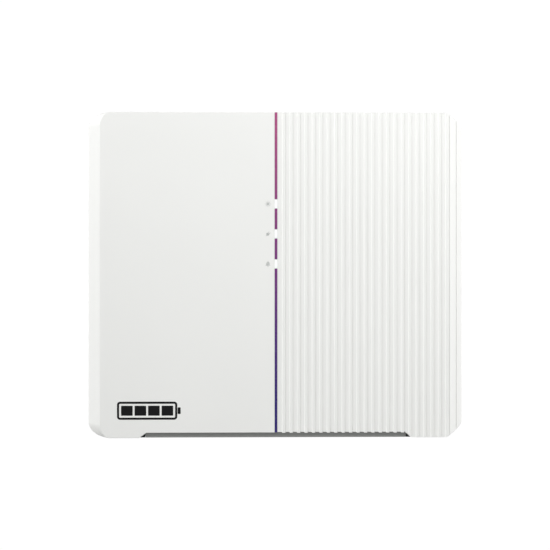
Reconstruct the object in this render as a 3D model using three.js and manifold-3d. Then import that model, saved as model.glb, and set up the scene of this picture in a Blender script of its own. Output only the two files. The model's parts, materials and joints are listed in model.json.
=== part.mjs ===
// Wall battery unit: a 5 kWh lithium iron phosphate home battery that hangs on a wall rail.
// Millimetres. X is to the right seen from the front, the front faces -Y, Z is up.
// Everything is drawn around the middle of the unit's height, with the wall at y = 0; the last
// lines move it so that the origin is the middle of the wall rail's back face.

import * as THREE from 'three';
import { mergeVertices } from 'three/addons/utils/BufferGeometryUtils.js';
import Module from 'manifold-3d';

const wasm = await Module();
wasm.setup();

// ---------------------------------------------------------------- driving dimensions

const WIDTH = 500;
const HEIGHT = 434;
const DEPTH = 170;
const HALF_WIDTH = WIDTH / 2;
const HALF_HEIGHT = HEIGHT / 2;
const FRONT = -DEPTH;
const GAP = 0.3;

// Front cover: two shells that meet at a light bar in the middle
const COVER = {
  wall: 2.5,
  back: -122,
  bevelDepth: 14,
  leftBevel: 15.7,
  rightBevel: 18.7,
  cornerSteps: 7,
  smoothFaceInset: 0.4,
  seam: 0.15,
};
// Corner arcs of the outline, at the cover's sides and at its flat face. Roundness 2 is a round arc and
// 1 a straight cut.
const LEFT_CORNER = { width: 26, height: 20, faceWidth: 12.3, faceHeight: 18.3, roundness: 1.8 };
const RIGHT_CORNER = { width: 24, height: 20, faceWidth: 3, faceHeight: 3, roundness: 1.4 };
// Flutes between the ribs of the right half: a thin crease, a flat floor and a slope up to the next rib
const FLUTE = {
  first: 2.5, pitch: 9.93, count: 23, crease: 0.7, creaseDepth: 1.2, floorEnd: 5.2, width: 6.4, depth: 0.75,
};
const BEVEL_GROOVE = { places: [232.2, 242], width: 0.9, depth: 2.2 };
const NOTCH = { topHalf: 173, mouthHalf: 182, height: 6.6, rise: 5, leanDepth: 3, reach: 12 };

// Light bar
const LIGHT = { width: 3.5, front: FRONT + 0.1, back: -165.5, window: 12, pitch: 40, topWindow: 94.7 };
const GUIDE = { half: 9, wall: 2, web: 1.8, front: -165.2, back: -158.6, top: 213, bottom: -201 };

// Rear housing and its lid
const HOUSING = { inset: 6.5, wall: 2.5, back: -16, front: -148 };
const HOUSING_BOTTOM = -HALF_HEIGHT + HOUSING.inset;
const LIP = { inset: 3, thickness: 4 };
const LID_INSET = 4;
const BAY = { halfWidth: 190, back: -36, front: -126, ceiling: -176.5, wall: 2.5, ledge: 8 };
const PANEL = { bottom: -178.8, thickness: 2 };
const CONNECTOR_Y = (BAY.back + BAY.front) / 2;

// Cells: two rows of eight, terminals to the front
const CELL = { thickness: 49.6, height: 160, back: -22, front: -138, corner: 3, perRow: 8 };
const CELL_PITCH = CELL.thickness + 0.6;
const ROW_CENTRES = [124, -37];
const TERMINAL = { offset: 50, width: 16, height: 12, reach: 3.5 };
const SHEET = { front: -144, back: -141.8 };

// Wall side
const RAIL = { halfLength: 190, middle: 140, halfHeight: 30, thickness: 2.5, lipFront: -11.5, lipTop: 190 };
const SLOT = { width: 8.5, length: 20 };
const BRACKET_X = 150;

// ---------------------------------------------------------------- solids

function toManifold(geometry) {
  const bare = geometry.clone();
  bare.deleteAttribute('normal');
  bare.deleteAttribute('uv');
  const merged = mergeVertices(bare, 1e-4);
  const mesh = new wasm.Mesh({
    numProp: 3,
    vertProperties: new Float32Array(merged.attributes.position.array),
    triVerts: new Uint32Array(merged.index.array),
  });
  return new wasm.Manifold(mesh);
}

function toGeometry(manifold) {
  const mesh = manifold.getMesh();
  const geometry = new THREE.BufferGeometry();
  geometry.setAttribute('position', new THREE.BufferAttribute(new Float32Array(mesh.vertProperties), 3));
  geometry.setIndex(new THREE.BufferAttribute(new Uint32Array(mesh.triVerts), 1));
  geometry.computeVertexNormals();
  return geometry;
}

function join(...geometries) {
  return geometries.map(toManifold).reduce((whole, next) => whole.add(next));
}

function cut(solid, ...geometries) {
  return geometries.map(toManifold).reduce((whole, next) => whole.subtract(next), solid);
}

// A block between two corners
function block(x0, x1, y0, y1, z0, z1) {
  const geometry = new THREE.BoxGeometry(Math.abs(x1 - x0), Math.abs(y1 - y0), Math.abs(z1 - z0));
  return geometry.translate((x0 + x1) / 2, (y0 + y1) / 2, (z0 + z1) / 2);
}

// A block that is centred in X
function centred(half, y0, y1, z0, z1) {
  return block(-half, half, y0, y1, z0, z1);
}

function shapeOf(points) {
  return new THREE.Shape(points.map(([a, b]) => new THREE.Vector2(a, b)));
}

// Prisms: an outline in one plane, swept along the axis across it
const SWEEP_X = new THREE.Matrix4().makeBasis(
  new THREE.Vector3(0, 1, 0), new THREE.Vector3(0, 0, 1), new THREE.Vector3(1, 0, 0));
const SWEEP_Y = new THREE.Matrix4().makeBasis(
  new THREE.Vector3(1, 0, 0), new THREE.Vector3(0, 0, 1), new THREE.Vector3(0, -1, 0));

function prism(points, depth) {
  return new THREE.ExtrudeGeometry(shapeOf(points), { depth, bevelEnabled: false });
}

// outline in (y, z), from x0 to x1
function prismX(points, x0, x1) {
  return prism(points, x1 - x0).applyMatrix4(SWEEP_X).translate(x0, 0, 0);
}

// outline in (x, z), from y = back forwards to y = front
function prismY(points, back, front) {
  return prism(points, back - front).applyMatrix4(SWEEP_Y).translate(0, back, 0);
}

// outline in (x, y), from z0 up to z1
function prismZ(points, z0, z1) {
  return prism(points, z1 - z0).translate(0, 0, z0);
}

// A round post standing on z0
function post(radius, x, y, z0, z1, sides = 20) {
  const geometry = new THREE.CylinderGeometry(radius, radius, z1 - z0, sides);
  return geometry.rotateX(Math.PI / 2).translate(x, y, (z0 + z1) / 2);
}

// A cable: a round section swept along a smooth curve through the given points
function cable(points, radius, steps) {
  const curve = new THREE.CatmullRomCurve3(points.map((p) => new THREE.Vector3(...p)));
  const section = new THREE.Shape();
  section.absarc(0, 0, radius, 0, Math.PI * 2);
  return new THREE.ExtrudeGeometry(section, { steps, extrudePath: curve, curveSegments: 8 });
}

// ---------------------------------------------------------------- materials and sub-parts

const unit = new THREE.Group();

function material(color, roughness, metalness = 0) {
  return new THREE.MeshStandardMaterial({ color, roughness, metalness });
}

const coverWhite = () => material(0xeceeea, 0.38);
const housingGrey = () => material(0x6f7370, 0.55, 0.3);
const zincSteel = () => material(0xb4b8ba, 0.4, 0.9);
const aluminium = () => material(0xc2c5c8, 0.35, 0.9);
const blackPlastic = () => material(0x1d1e20, 0.5);
const sealRubber = () => material(0x26282a, 0.9);
const orangePlastic = () => material(0xd9691e, 0.5);
const copper = () => material(0xc07a4a, 0.35, 0.95);
const cellBlue = () => material(0x2b5f9e, 0.35);
const boardGreen = () => material(0x1f6b3c, 0.5);

function part(name, solid, look) {
  const geometry = solid instanceof THREE.BufferGeometry ? solid : toGeometry(solid);
  const mesh = new THREE.Mesh(geometry, look);
  mesh.name = name;
  unit.add(mesh);
}

// ---------------------------------------------------------------- front cover

// A corner arc of the cover outline, from its side edge to its top or bottom edge
function cornerArc(corner, share, shrink) {
  const width = THREE.MathUtils.lerp(corner.width, corner.faceWidth, share) - shrink;
  const height = THREE.MathUtils.lerp(corner.height, corner.faceHeight, share) - shrink;
  return [...Array(COVER.cornerSteps + 1).keys()].map((step) => {
    const angle = (step / COVER.cornerSteps) * (Math.PI / 2);
    const along = 1 - Math.cos(angle) ** (2 / corner.roundness);
    const up = 1 - Math.sin(angle) ** (2 / corner.roundness);
    return [width * along, height * up];
  });
}

// Outline of the cover in (x, z). share is 0 at the sides of the cover and 1 at its flat face,
// and shrink moves the outline inwards by a wall thickness.
function coverOutline(share, shrink) {
  const left = -HALF_WIDTH + COVER.leftBevel * share + shrink;
  const right = HALF_WIDTH - COVER.rightBevel * share - shrink;
  const top = HALF_HEIGHT - shrink;
  const leftArc = cornerArc(LEFT_CORNER, share, shrink);
  const rightArc = cornerArc(RIGHT_CORNER, share, shrink);
  return [
    ...leftArc.map(([dx, dz]) => [left + dx, -top + dz]),
    ...rightArc.toReversed().map(([dx, dz]) => [right - dx, -top + dz]),
    ...rightArc.map(([dx, dz]) => [right - dx, top - dz]),
    ...leftArc.toReversed().map(([dx, dz]) => [left + dx, top - dz]),
  ];
}

// A solid skin through outlines that hold the same number of points, each at its own y
function loft(sections) {
  const count = sections[0].outline.length;
  const corners = sections.flatMap(({ y, outline }) => outline.flatMap(([x, z]) => [x, y, z]));
  const faces = [];
  for (let s = 0; s + 1 < sections.length; s += 1) {
    for (let i = 0; i < count; i += 1) {
      const here = s * count + i;
      const next = s * count + ((i + 1) % count);
      faces.push(here, next, here + count, next, next + count, here + count);
    }
  }
  const outlineOf = (section) => section.outline.map(([x, z]) => new THREE.Vector2(x, z));
  const lastStart = (sections.length - 1) * count;
  for (const [a, b, c] of THREE.ShapeUtils.triangulateShape(outlineOf(sections[0]), [])) {
    faces.push(a, c, b);
  }
  for (const [a, b, c] of THREE.ShapeUtils.triangulateShape(outlineOf(sections.at(-1)), [])) {
    faces.push(lastStart + a, lastStart + b, lastStart + c);
  }
  const geometry = new THREE.BufferGeometry();
  geometry.setAttribute('position', new THREE.Float32BufferAttribute(corners, 3));
  geometry.setIndex(faces);
  return geometry;
}

// The whole cover as a shell that is open at the back
function coverShell(face) {
  const outer = loft([
    { y: COVER.back, outline: coverOutline(0, 0) },
    { y: face + COVER.bevelDepth, outline: coverOutline(0, 0) },
    { y: face, outline: coverOutline(1, 0) },
  ]);
  const inner = loft([
    { y: COVER.back + 1, outline: coverOutline(0, COVER.wall) },
    { y: face + COVER.bevelDepth + COVER.wall / 2, outline: coverOutline(0, COVER.wall) },
    { y: FRONT + COVER.wall + COVER.smoothFaceInset, outline: coverOutline(1, COVER.wall) },
  ]);
  return cut(join(outer), inner);
}

// The notch along the bottom edge: sloped ends, and a top edge that leans up behind the face
const NOTCH_TOP = -HALF_HEIGHT + NOTCH.height;
const NOTCH_SLOPE = (NOTCH.mouthHalf - NOTCH.topHalf) / NOTCH.height;

// Half the width of the notch at height z
function notchHalf(z) {
  return NOTCH.topHalf + (NOTCH_TOP - z) * NOTCH_SLOPE;
}

function notchCutters() {
  const below = -HALF_HEIGHT - 2;
  const mouth = notchHalf(below);
  const opening = prismY(
    [[-mouth, below], [mouth, below], [NOTCH.topHalf, NOTCH_TOP], [-NOTCH.topHalf, NOTCH_TOP]],
    COVER.back + 2,
    FRONT - 2,
  );
  const start = NOTCH_TOP - 0.1;
  const end = NOTCH_TOP + NOTCH.rise;
  const lean = prismX(
    [[FRONT, start], [FRONT + NOTCH.leanDepth, end], [FRONT + NOTCH.reach, end],
      [FRONT + NOTCH.reach, start]],
    -NOTCH.topHalf,
    NOTCH.topHalf,
  );
  return [opening, lean];
}

// The flange behind the face that the light guide is fixed to, on the side given by sign
const SEAM_FLANGE = { width: 4, front: FRONT + 1.6 };
function seamFlange(sign) {
  const inner = LIGHT.width / 2 + GAP;
  const outer = inner + SEAM_FLANGE.width;
  const bottom = NOTCH_TOP + NOTCH.rise + 1;
  return block(sign * inner, sign * outer, SEAM_FLANGE.front, LIGHT.back + 0.2, bottom, HALF_HEIGHT - 1);
}

function lightChannel() {
  return centred(LIGHT.width / 2 + GAP, FRONT - 2, LIGHT.back + 0.2, -HALF_HEIGHT - 2, HALF_HEIGHT + 2);
}

const leftPanel = cut(
  coverShell(FRONT + COVER.smoothFaceInset).add(toManifold(seamFlange(-1))),
  block(-COVER.seam, HALF_WIDTH + 5, FRONT - 5, 0, -HALF_HEIGHT - 5, HALF_HEIGHT + 5),
  lightChannel(),
  ...notchCutters(),
);
part('left_front_panel', leftPanel, coverWhite());

// One flute over the full height. The first one has no crease: it opens into the light channel.
function fluteCutter(index) {
  const start = FLUTE.first + FLUTE.pitch * index;
  const before = FRONT - 1;
  const floor = FRONT + FLUTE.depth;
  const crease = [
    [start, FRONT],
    [start + FLUTE.crease / 2, FRONT + FLUTE.creaseDepth],
    [start + FLUTE.crease, floor],
  ];
  const outline = [
    [index === 0 ? 1 : start, before],
    ...(index === 0 ? [[1, floor]] : crease),
    [start + FLUTE.floorEnd, floor],
    [start + FLUTE.width, FRONT],
    [start + FLUTE.width, before],
  ];
  return prismZ(outline, -HALF_HEIGHT - 1, HALF_HEIGHT + 1);
}

// A thin groove in the right bevel, square to its slope
function bevelGroove(x) {
  const bevelStart = HALF_WIDTH - COVER.rightBevel;
  const y = FRONT + ((x - bevelStart) / COVER.rightBevel) * COVER.bevelDepth;
  const groove = new THREE.BoxGeometry(BEVEL_GROOVE.width, BEVEL_GROOVE.depth, HEIGHT + 4);
  groove.rotateZ(Math.atan2(COVER.bevelDepth, COVER.rightBevel));
  return groove.translate(x, y, 0);
}

const rightPanel = cut(
  coverShell(FRONT).add(toManifold(seamFlange(1))),
  block(-HALF_WIDTH - 5, COVER.seam, FRONT - 5, 0, -HALF_HEIGHT - 5, HALF_HEIGHT + 5),
  lightChannel(),
  ...notchCutters(),
  ...[...Array(FLUTE.count).keys()].map(fluteCutter),
  ...BEVEL_GROOVE.places.map(bevelGroove),
);
part('right_front_panel', rightPanel, coverWhite());

// ---------------------------------------------------------------- light bar

const WINDOW_NAMES = ['solar_window', 'grid_window', 'alarm_window'];
const STRIP_COLOURS = [0xc83c96, 0xa2309a, 0x8f2fa0, 0x5a2ca0];

function lightPiece(name, bottom, top, look) {
  part(name, centred(LIGHT.width / 2, LIGHT.front, LIGHT.back, bottom, top), look);
}

let stripTop = HALF_HEIGHT - 0.1;
WINDOW_NAMES.forEach((name, index) => {
  const middle = LIGHT.topWindow - LIGHT.pitch * index;
  const windowTop = middle + LIGHT.window / 2;
  const windowBottom = middle - LIGHT.window / 2;
  lightPiece(`light_strip_${index + 1}`, windowTop + GAP, stripTop, material(STRIP_COLOURS[index], 0.3));
  lightPiece(name, windowBottom, windowTop, material(0xf6f8f5, 0.25));
  stripTop = windowBottom - GAP;
});
lightPiece('light_strip_4', -HALF_HEIGHT + NOTCH.height + 0.5, stripTop, material(STRIP_COLOURS[3], 0.3));

// A U section open to the back, with the lamp board between its legs
const guideInner = GUIDE.half - GUIDE.wall;
part('light_guide', prismZ(
  [[-GUIDE.half, GUIDE.front], [GUIDE.half, GUIDE.front], [GUIDE.half, GUIDE.back], [guideInner, GUIDE.back],
    [guideInner, GUIDE.front + GUIDE.web], [-guideInner, GUIDE.front + GUIDE.web], [-guideInner, GUIDE.back],
    [-GUIDE.half, GUIDE.back]],
  GUIDE.bottom, GUIDE.top), material(0xe6ebee, 0.2));
part('led_board', centred(guideInner - 0.5, GUIDE.back - 1.6, GUIDE.back, GUIDE.bottom + 4, GUIDE.top - 4),
  boardGreen());

// ---------------------------------------------------------------- rear housing

// A slab with the cover's outline, moved inwards by inset
function coverSlab(inset, back, front) {
  return prismY(coverOutline(0, inset), back, front);
}

// Lock screws come up into the housing behind the connection bay
const LOCK_SCREW = { y: -26, radius: 2.5, hole: 3, headRadius: 5, head: 2.8, reach: 12 };

function rearHousing() {
  const h = HOUSING;
  const b = BAY;
  const shell = cut(
    join(coverSlab(h.inset, h.back, h.front), coverSlab(LIP.inset, h.front + LIP.thickness, h.front)),
    coverSlab(h.inset + h.wall, h.back - h.wall, h.front - 1),
  );
  const bayHalf = b.halfWidth + b.wall;
  const bayBox = centred(bayHalf, b.back + b.wall, b.front - b.wall, HOUSING_BOTTOM + 1, b.ceiling + b.wall);
  const panelWindow = centred(
    b.halfWidth - b.ledge, b.back - b.ledge, b.front + b.ledge, b.ceiling - 4, b.ceiling + 4);
  const screwHole = (x) => post(LOCK_SCREW.hole, x, LOCK_SCREW.y, HOUSING_BOTTOM - 2, HOUSING_BOTTOM + 4, 16);
  return cut(
    shell.add(toManifold(bayBox)),
    centred(b.halfWidth, b.back, b.front, HOUSING_BOTTOM - 1, b.ceiling),
    panelWindow,
    screwHole(-BRACKET_X),
    screwHole(BRACKET_X),
  );
}
part('rear_housing', rearHousing(), housingGrey());

const GASKET = { thickness: 2, band: 4.5 };
const GASKET_BACK = HOUSING.front - GAP;
const GASKET_FRONT = GASKET_BACK - GASKET.thickness;
part('lid_gasket', cut(
  join(coverSlab(LID_INSET, GASKET_BACK, GASKET_FRONT)),
  coverSlab(LID_INSET + GASKET.band, GASKET_BACK + 1, GASKET_FRONT - 1),
), sealRubber());

// The lid is a pan: its middle is pressed in by one sheet thickness
const LID = { thickness: 2, pressedHalfWidth: 210, pressedHalfHeight: 180 };
function housingLid() {
  const back = GASKET_FRONT - GAP;
  const front = back - LID.thickness;
  const outerHalf = LID.pressedHalfWidth + LID.thickness;
  const outerHeight = LID.pressedHalfHeight + LID.thickness;
  const pressing = centred(outerHalf, back + LID.thickness, front, -outerHeight, outerHeight);
  const hollow = centred(
    LID.pressedHalfWidth, back, front - 1, -LID.pressedHalfHeight, LID.pressedHalfHeight);
  return cut(join(coverSlab(LID_INSET, back, front), pressing), hollow);
}
part('housing_lid', housingLid(), housingGrey());

// Angle that closes the bottom of the cover inside the notch
const FRAME = { halfLength: 174, back: -126, inside: -160.5, front: -163.5, thickness: 2.2, legTop: -204 };
const FRAME_BOTTOM = -HALF_HEIGHT + 0.2;
function bottomFrame() {
  const shelf = FRAME_BOTTOM + FRAME.thickness;
  return prismX(
    [[FRAME.back, FRAME_BOTTOM], [FRAME.back, shelf], [FRAME.inside, shelf], [FRAME.inside, FRAME.legTop],
      [FRAME.front, FRAME.legTop], [FRAME.front, FRAME_BOTTOM]],
    -FRAME.halfLength,
    FRAME.halfLength,
  );
}
part('bottom_frame', bottomFrame(), housingGrey());

// Rubber strip on the back of the angle. Its ends come down past the angle and close the notch.
const SEAL = { thickness: 1.8, top: FRAME.legTop - 0.5 };
function bottomSeal() {
  const shelf = FRAME_BOTTOM + FRAME.thickness + GAP;
  const inner = FRAME.halfLength + GAP;
  const wallTop = -HALF_HEIGHT + COVER.wall + GAP;
  const mouth = notchHalf(FRAME_BOTTOM) - GAP * 2;
  const waist = notchHalf(wallTop) - GAP * 2;
  const rightHalf = [
    [inner, shelf], [inner, FRAME_BOTTOM], [mouth, FRAME_BOTTOM], [waist, wallTop], [waist, SEAL.top],
  ];
  const leftHalf = rightHalf.toReversed().map(([x, z]) => [-x, z]);
  const back = FRAME.inside + GAP + SEAL.thickness;
  return prismY([...leftHalf, ...rightHalf], back, FRAME.inside + GAP);
}
part('bottom_seal', bottomSeal(), sealRubber());

// ---------------------------------------------------------------- connection panel

const POSITIVE_X = -80;
const NEGATIVE_X = -130;
const BREAKER_X = -15;
const BUTTON_X = 45;
const PORT_XS = [85, 111, 137];
const GROUND_X = -168;
const VENT_X = 170;
const PANEL_TOP = PANEL.bottom + PANEL.thickness;
const FLANGE_TOP = PANEL.bottom - GAP;

const SOCKET = {
  flangeHalf: 19, flange: 3, shroud: 13, bore: 9.6, length: 23, boreTop: 5,
  neck: 9, neckTop: 14, stud: 4.5, studTop: 19, contact: 4, contactReach: 11,
};
const BREAKER = { halfWidth: 17.7, bodyHalf: 38, noseHalf: 23, slotHalf: 14, nose: 5.2, top: -125 };
const LEVER = { axisHeight: 2.8, barrel: 7, length: 26.8, paddle: 20, rootHalf: 3, tipHalf: 2, lean: 38 };
const BUTTON = { cap: 6.6, bore: 7, sleeve: 9.5, flange: 13, flangeThickness: 3, proud: 4.6, sleeveTop: 16 };
const PORT = {
  flangeX: 9.5, flangeY: 8.5, flange: 1.6, bodyX: 8, bodyY: 6.8, bodyTop: 17,
  openingX: 6, openingY: 4.2, openingTop: 13,
};
const GROUND = { stud: 3, reach: 16, head: 7, headTop: 4, nut: 6.4, nutHeight: 5, nutBore: 3.3 };
const VENT_NECK = 6;

function holeThroughPanel(radius, x) {
  return post(radius, x, CONNECTOR_Y, PANEL.bottom - 3, PANEL_TOP + 3, 24);
}

// A block around the connectors' centre line
function onCentreLine(x, halfX, halfY, z0, z1) {
  return block(x - halfX, x + halfX, CONNECTOR_Y - halfY, CONNECTOR_Y + halfY, z0, z1);
}

function windowThroughPanel(x, halfX, halfY) {
  return onCentreLine(x, halfX, halfY, PANEL.bottom - 3, PANEL_TOP + 3);
}

part('connection_panel', cut(
  join(centred(BAY.halfWidth - GAP, BAY.back - GAP, BAY.front + GAP, PANEL.bottom, PANEL_TOP)),
  holeThroughPanel(SOCKET.neck + 0.4, POSITIVE_X),
  holeThroughPanel(SOCKET.neck + 0.4, NEGATIVE_X),
  windowThroughPanel(BREAKER_X, BREAKER.halfWidth + GAP, BREAKER.noseHalf + 0.4),
  holeThroughPanel(BUTTON.sleeve + 0.4, BUTTON_X),
  ...PORT_XS.map((x) => windowThroughPanel(x, PORT.bodyX + 0.4, PORT.bodyY + 0.4)),
  holeThroughPanel(GROUND.stud + 0.4, GROUND_X),
  holeThroughPanel(VENT_NECK + 0.4, VENT_X),
), material(0x8d9190, 0.5, 0.2));

// Power socket: square flange, round shroud with a recessed contact, and a stud behind the panel
function powerSocket(x) {
  const body = join(
    onCentreLine(x, SOCKET.flangeHalf, SOCKET.flangeHalf, FLANGE_TOP - SOCKET.flange, FLANGE_TOP),
    post(SOCKET.shroud, x, CONNECTOR_Y, FLANGE_TOP - SOCKET.length, FLANGE_TOP - 1, 28),
    post(SOCKET.neck, x, CONNECTOR_Y, FLANGE_TOP - 1, PANEL_TOP + SOCKET.neckTop, 20),
    post(SOCKET.stud, x, CONNECTOR_Y, PANEL_TOP + SOCKET.neckTop - 1, PANEL_TOP + SOCKET.studTop, 16),
  );
  const mouth = FLANGE_TOP - SOCKET.length;
  const boreTop = FLANGE_TOP - SOCKET.boreTop;
  const bored = cut(body, post(SOCKET.bore, x, CONNECTOR_Y, mouth - 1, boreTop, 28));
  const contact = post(SOCKET.contact, x, CONNECTOR_Y, FLANGE_TOP - SOCKET.contactReach, boreTop + 1, 16);
  return bored.add(toManifold(contact));
}
part('positive_socket', powerSocket(POSITIVE_X), orangePlastic());
part('negative_socket', powerSocket(NEGATIVE_X), blackPlastic());

// Two-pole breaker: a body behind the panel and a nose through it, with a slot for the lever
const LEVER_AXIS_Z = PANEL.bottom + LEVER.axisHeight;
const NOSE_BOTTOM = PANEL.bottom - BREAKER.nose;
function breakerBody() {
  const bodyBottom = BAY.ceiling + 4.5;
  return cut(
    join(
      onCentreLine(BREAKER_X, BREAKER.halfWidth, BREAKER.bodyHalf, bodyBottom, BREAKER.top),
      onCentreLine(BREAKER_X, BREAKER.halfWidth, BREAKER.noseHalf, NOSE_BOTTOM, bodyBottom + 0.5),
    ),
    onCentreLine(BREAKER_X, BREAKER.slotHalf, BREAKER.slotHalf, NOSE_BOTTOM - 1, LEVER_AXIS_Z + 9),
  );
}
part('breaker_body', breakerBody(), material(0xd8dad6, 0.5));

// Lever: a barrel on the pivot and a paddle that leans back when the breaker is on
function breakerLever() {
  const barrel = new THREE.CylinderGeometry(LEVER.barrel, LEVER.barrel, LEVER.length, 20);
  const blade = prismX(
    [[-LEVER.rootHalf, 0], [LEVER.rootHalf, 0], [LEVER.tipHalf, -LEVER.paddle],
      [-LEVER.tipHalf, -LEVER.paddle]],
    -LEVER.length / 2,
    LEVER.length / 2,
  );
  const paddle = blade.rotateX(THREE.MathUtils.degToRad(LEVER.lean));
  const lever = join(barrel.rotateZ(Math.PI / 2), paddle);
  return toGeometry(lever).translate(BREAKER_X, CONNECTOR_Y, LEVER_AXIS_Z);
}
part('breaker_lever', breakerLever(), material(0x25272a, 0.45));

// Power button: a sleeve through the panel and a cap that slides in it
const BUTTON_BOTTOM = FLANGE_TOP - BUTTON.proud;
const SLEEVE_TOP = PANEL_TOP + BUTTON.sleeveTop;
part('power_button_bezel', cut(
  join(
    post(BUTTON.flange, BUTTON_X, CONNECTOR_Y, FLANGE_TOP - BUTTON.flangeThickness, FLANGE_TOP, 32),
    post(BUTTON.sleeve, BUTTON_X, CONNECTOR_Y, FLANGE_TOP - 1, SLEEVE_TOP, 28),
  ),
  post(BUTTON.bore, BUTTON_X, CONNECTOR_Y, FLANGE_TOP - 4, SLEEVE_TOP - 3, 28),
), aluminium());
part('power_button',
  post(BUTTON.cap, BUTTON_X, CONNECTOR_Y, BUTTON_BOTTOM, PANEL_TOP + 6, 28), material(0xd9dcdc, 0.4));

// Communication ports: flanged sockets for eight-way plugs
function commPort(x) {
  return cut(
    join(
      onCentreLine(x, PORT.flangeX, PORT.flangeY, FLANGE_TOP - PORT.flange, FLANGE_TOP),
      onCentreLine(x, PORT.bodyX, PORT.bodyY, FLANGE_TOP - 1, PANEL_TOP + PORT.bodyTop),
    ),
    onCentreLine(x, PORT.openingX, PORT.openingY, FLANGE_TOP - 3, FLANGE_TOP + PORT.openingTop),
  );
}
PORT_XS.forEach((x, index) => part(`comm_port_${index + 1}`, commPort(x), blackPlastic()));

// Ground stud with its head behind the panel, and a nut on it
part('ground_stud', join(
  post(GROUND.stud, GROUND_X, CONNECTOR_Y, PANEL.bottom - GROUND.reach, PANEL_TOP + 1, 16),
  post(GROUND.head, GROUND_X, CONNECTOR_Y, PANEL_TOP + GAP, PANEL_TOP + GROUND.headTop, 6),
), material(0xc9a24a, 0.35, 0.9));
part('ground_nut', cut(
  join(post(GROUND.nut, GROUND_X, CONNECTOR_Y, FLANGE_TOP - GROUND.nutHeight, FLANGE_TOP, 6)),
  post(GROUND.nutBore, GROUND_X, CONNECTOR_Y, FLANGE_TOP - GROUND.nutHeight - 1, FLANGE_TOP + 1, 16),
), zincSteel());

// Pressure vent: a domed cap outside and a short threaded neck. Radius and height along its axis.
const VENT_PROFILE = [
  [0, -9], [7, -8.4], [10.5, -6.5], [11.5, -4], [11.5, 0], [VENT_NECK, 0], [VENT_NECK, 10], [0, 10],
];
function ventValve() {
  const geometry = new THREE.LatheGeometry(VENT_PROFILE.map(([r, y]) => new THREE.Vector2(r, y)), 24);
  return join(geometry.rotateX(Math.PI / 2).translate(VENT_X, CONNECTOR_Y, FLANGE_TOP));
}
part('vent_valve', ventValve(), material(0x2c2e30, 0.6));

// ---------------------------------------------------------------- battery module

// How far along each side the 45 degree point of a small round corner lies
const CORNER_SHARE = 0.29;

function roundedRectangle(halfX, halfZ, corner) {
  const near = corner * CORNER_SHARE;
  const quarter = [[halfX, halfZ - corner], [halfX - near, halfZ - near], [halfX - corner, halfZ]];
  const turned = quarter.toReversed();
  return [
    ...quarter,
    ...turned.map(([x, z]) => [-x, z]),
    ...quarter.map(([x, z]) => [-x, -z]),
    ...turned.map(([x, z]) => [x, -z]),
  ];
}

function cell(x, z) {
  const terminal = (side) => block(
    x - TERMINAL.width / 2, x + TERMINAL.width / 2, CELL.front + 1, CELL.front - TERMINAL.reach,
    z + side * TERMINAL.offset - TERMINAL.height / 2, z + side * TERMINAL.offset + TERMINAL.height / 2);
  const outline = roundedRectangle(CELL.thickness / 2, CELL.height / 2, CELL.corner);
  return join(prismY(outline, CELL.back, CELL.front).translate(x, 0, z), terminal(1), terminal(-1));
}

const FIRST_CELL_X = -CELL_PITCH * (CELL.perRow - 1) / 2;
ROW_CENTRES.forEach((z, row) => {
  for (let column = 0; column < CELL.perRow; column += 1) {
    const number = row * CELL.perRow + column + 1;
    const name = `cell_${String(number).padStart(2, '0')}`;
    part(name, cell(FIRST_CELL_X + CELL_PITCH * column, z), cellBlue());
  }
});

const STACK = {
  half: CELL_PITCH * CELL.perRow / 2,
  top: ROW_CENTRES[0] + CELL.height / 2,
  bottom: ROW_CENTRES[1] - CELL.height / 2,
};
const END_PLATE = 6;
const MODULE_HALF = STACK.half + END_PLATE;
part('end_plate_left',
  block(-MODULE_HALF, -STACK.half, CELL.back, CELL.front, STACK.bottom, STACK.top), aluminium());
part('end_plate_right',
  block(STACK.half, MODULE_HALF, CELL.back, CELL.front, STACK.bottom, STACK.top), aluminium());

// Insulating tray behind the cells, with a ledge under the lower row
const TRAY = { back: HOUSING.back - HOUSING.wall - GAP, front: CELL.back + GAP, ledgeFront: -110, ledge: 4 };
part('cell_tray', join(
  centred(MODULE_HALF, TRAY.back, TRAY.front, STACK.bottom - TRAY.ledge, STACK.top + 2),
  centred(MODULE_HALF, TRAY.back, TRAY.ledgeFront, STACK.bottom - TRAY.ledge, STACK.bottom - GAP),
), blackPlastic());

// Sheet over the terminals with the busbars that join neighbouring cells, and two end tabs
const BUSBAR = { back: SHEET.front + 0.5, front: SHEET.front - 1.5, tabReach: 16 };
function busbar(x0, x1, z) {
  return block(x0, x1, BUSBAR.back, BUSBAR.front, z - TERMINAL.height / 2, z + TERMINAL.height / 2);
}

function busbarBoard() {
  const halfTerminal = TERMINAL.width / 2;
  const bars = [];
  for (const z of ROW_CENTRES) {
    for (let column = 0; column + 1 < CELL.perRow; column += 1) {
      const side = column % 2 === 0 ? 1 : -1;
      const x = FIRST_CELL_X + CELL_PITCH * column;
      bars.push(busbar(x - halfTerminal, x + CELL_PITCH + halfTerminal, z + side * TERMINAL.offset));
    }
    bars.push(busbar(-STACK.half - BUSBAR.tabReach, FIRST_CELL_X + halfTerminal, z - TERMINAL.offset));
  }
  return join(centred(STACK.half, SHEET.back, SHEET.front, STACK.bottom + 2, STACK.top - 2), ...bars);
}
part('busbar_board', busbarBoard(), copper());

// ---------------------------------------------------------------- electronics and cables

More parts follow.
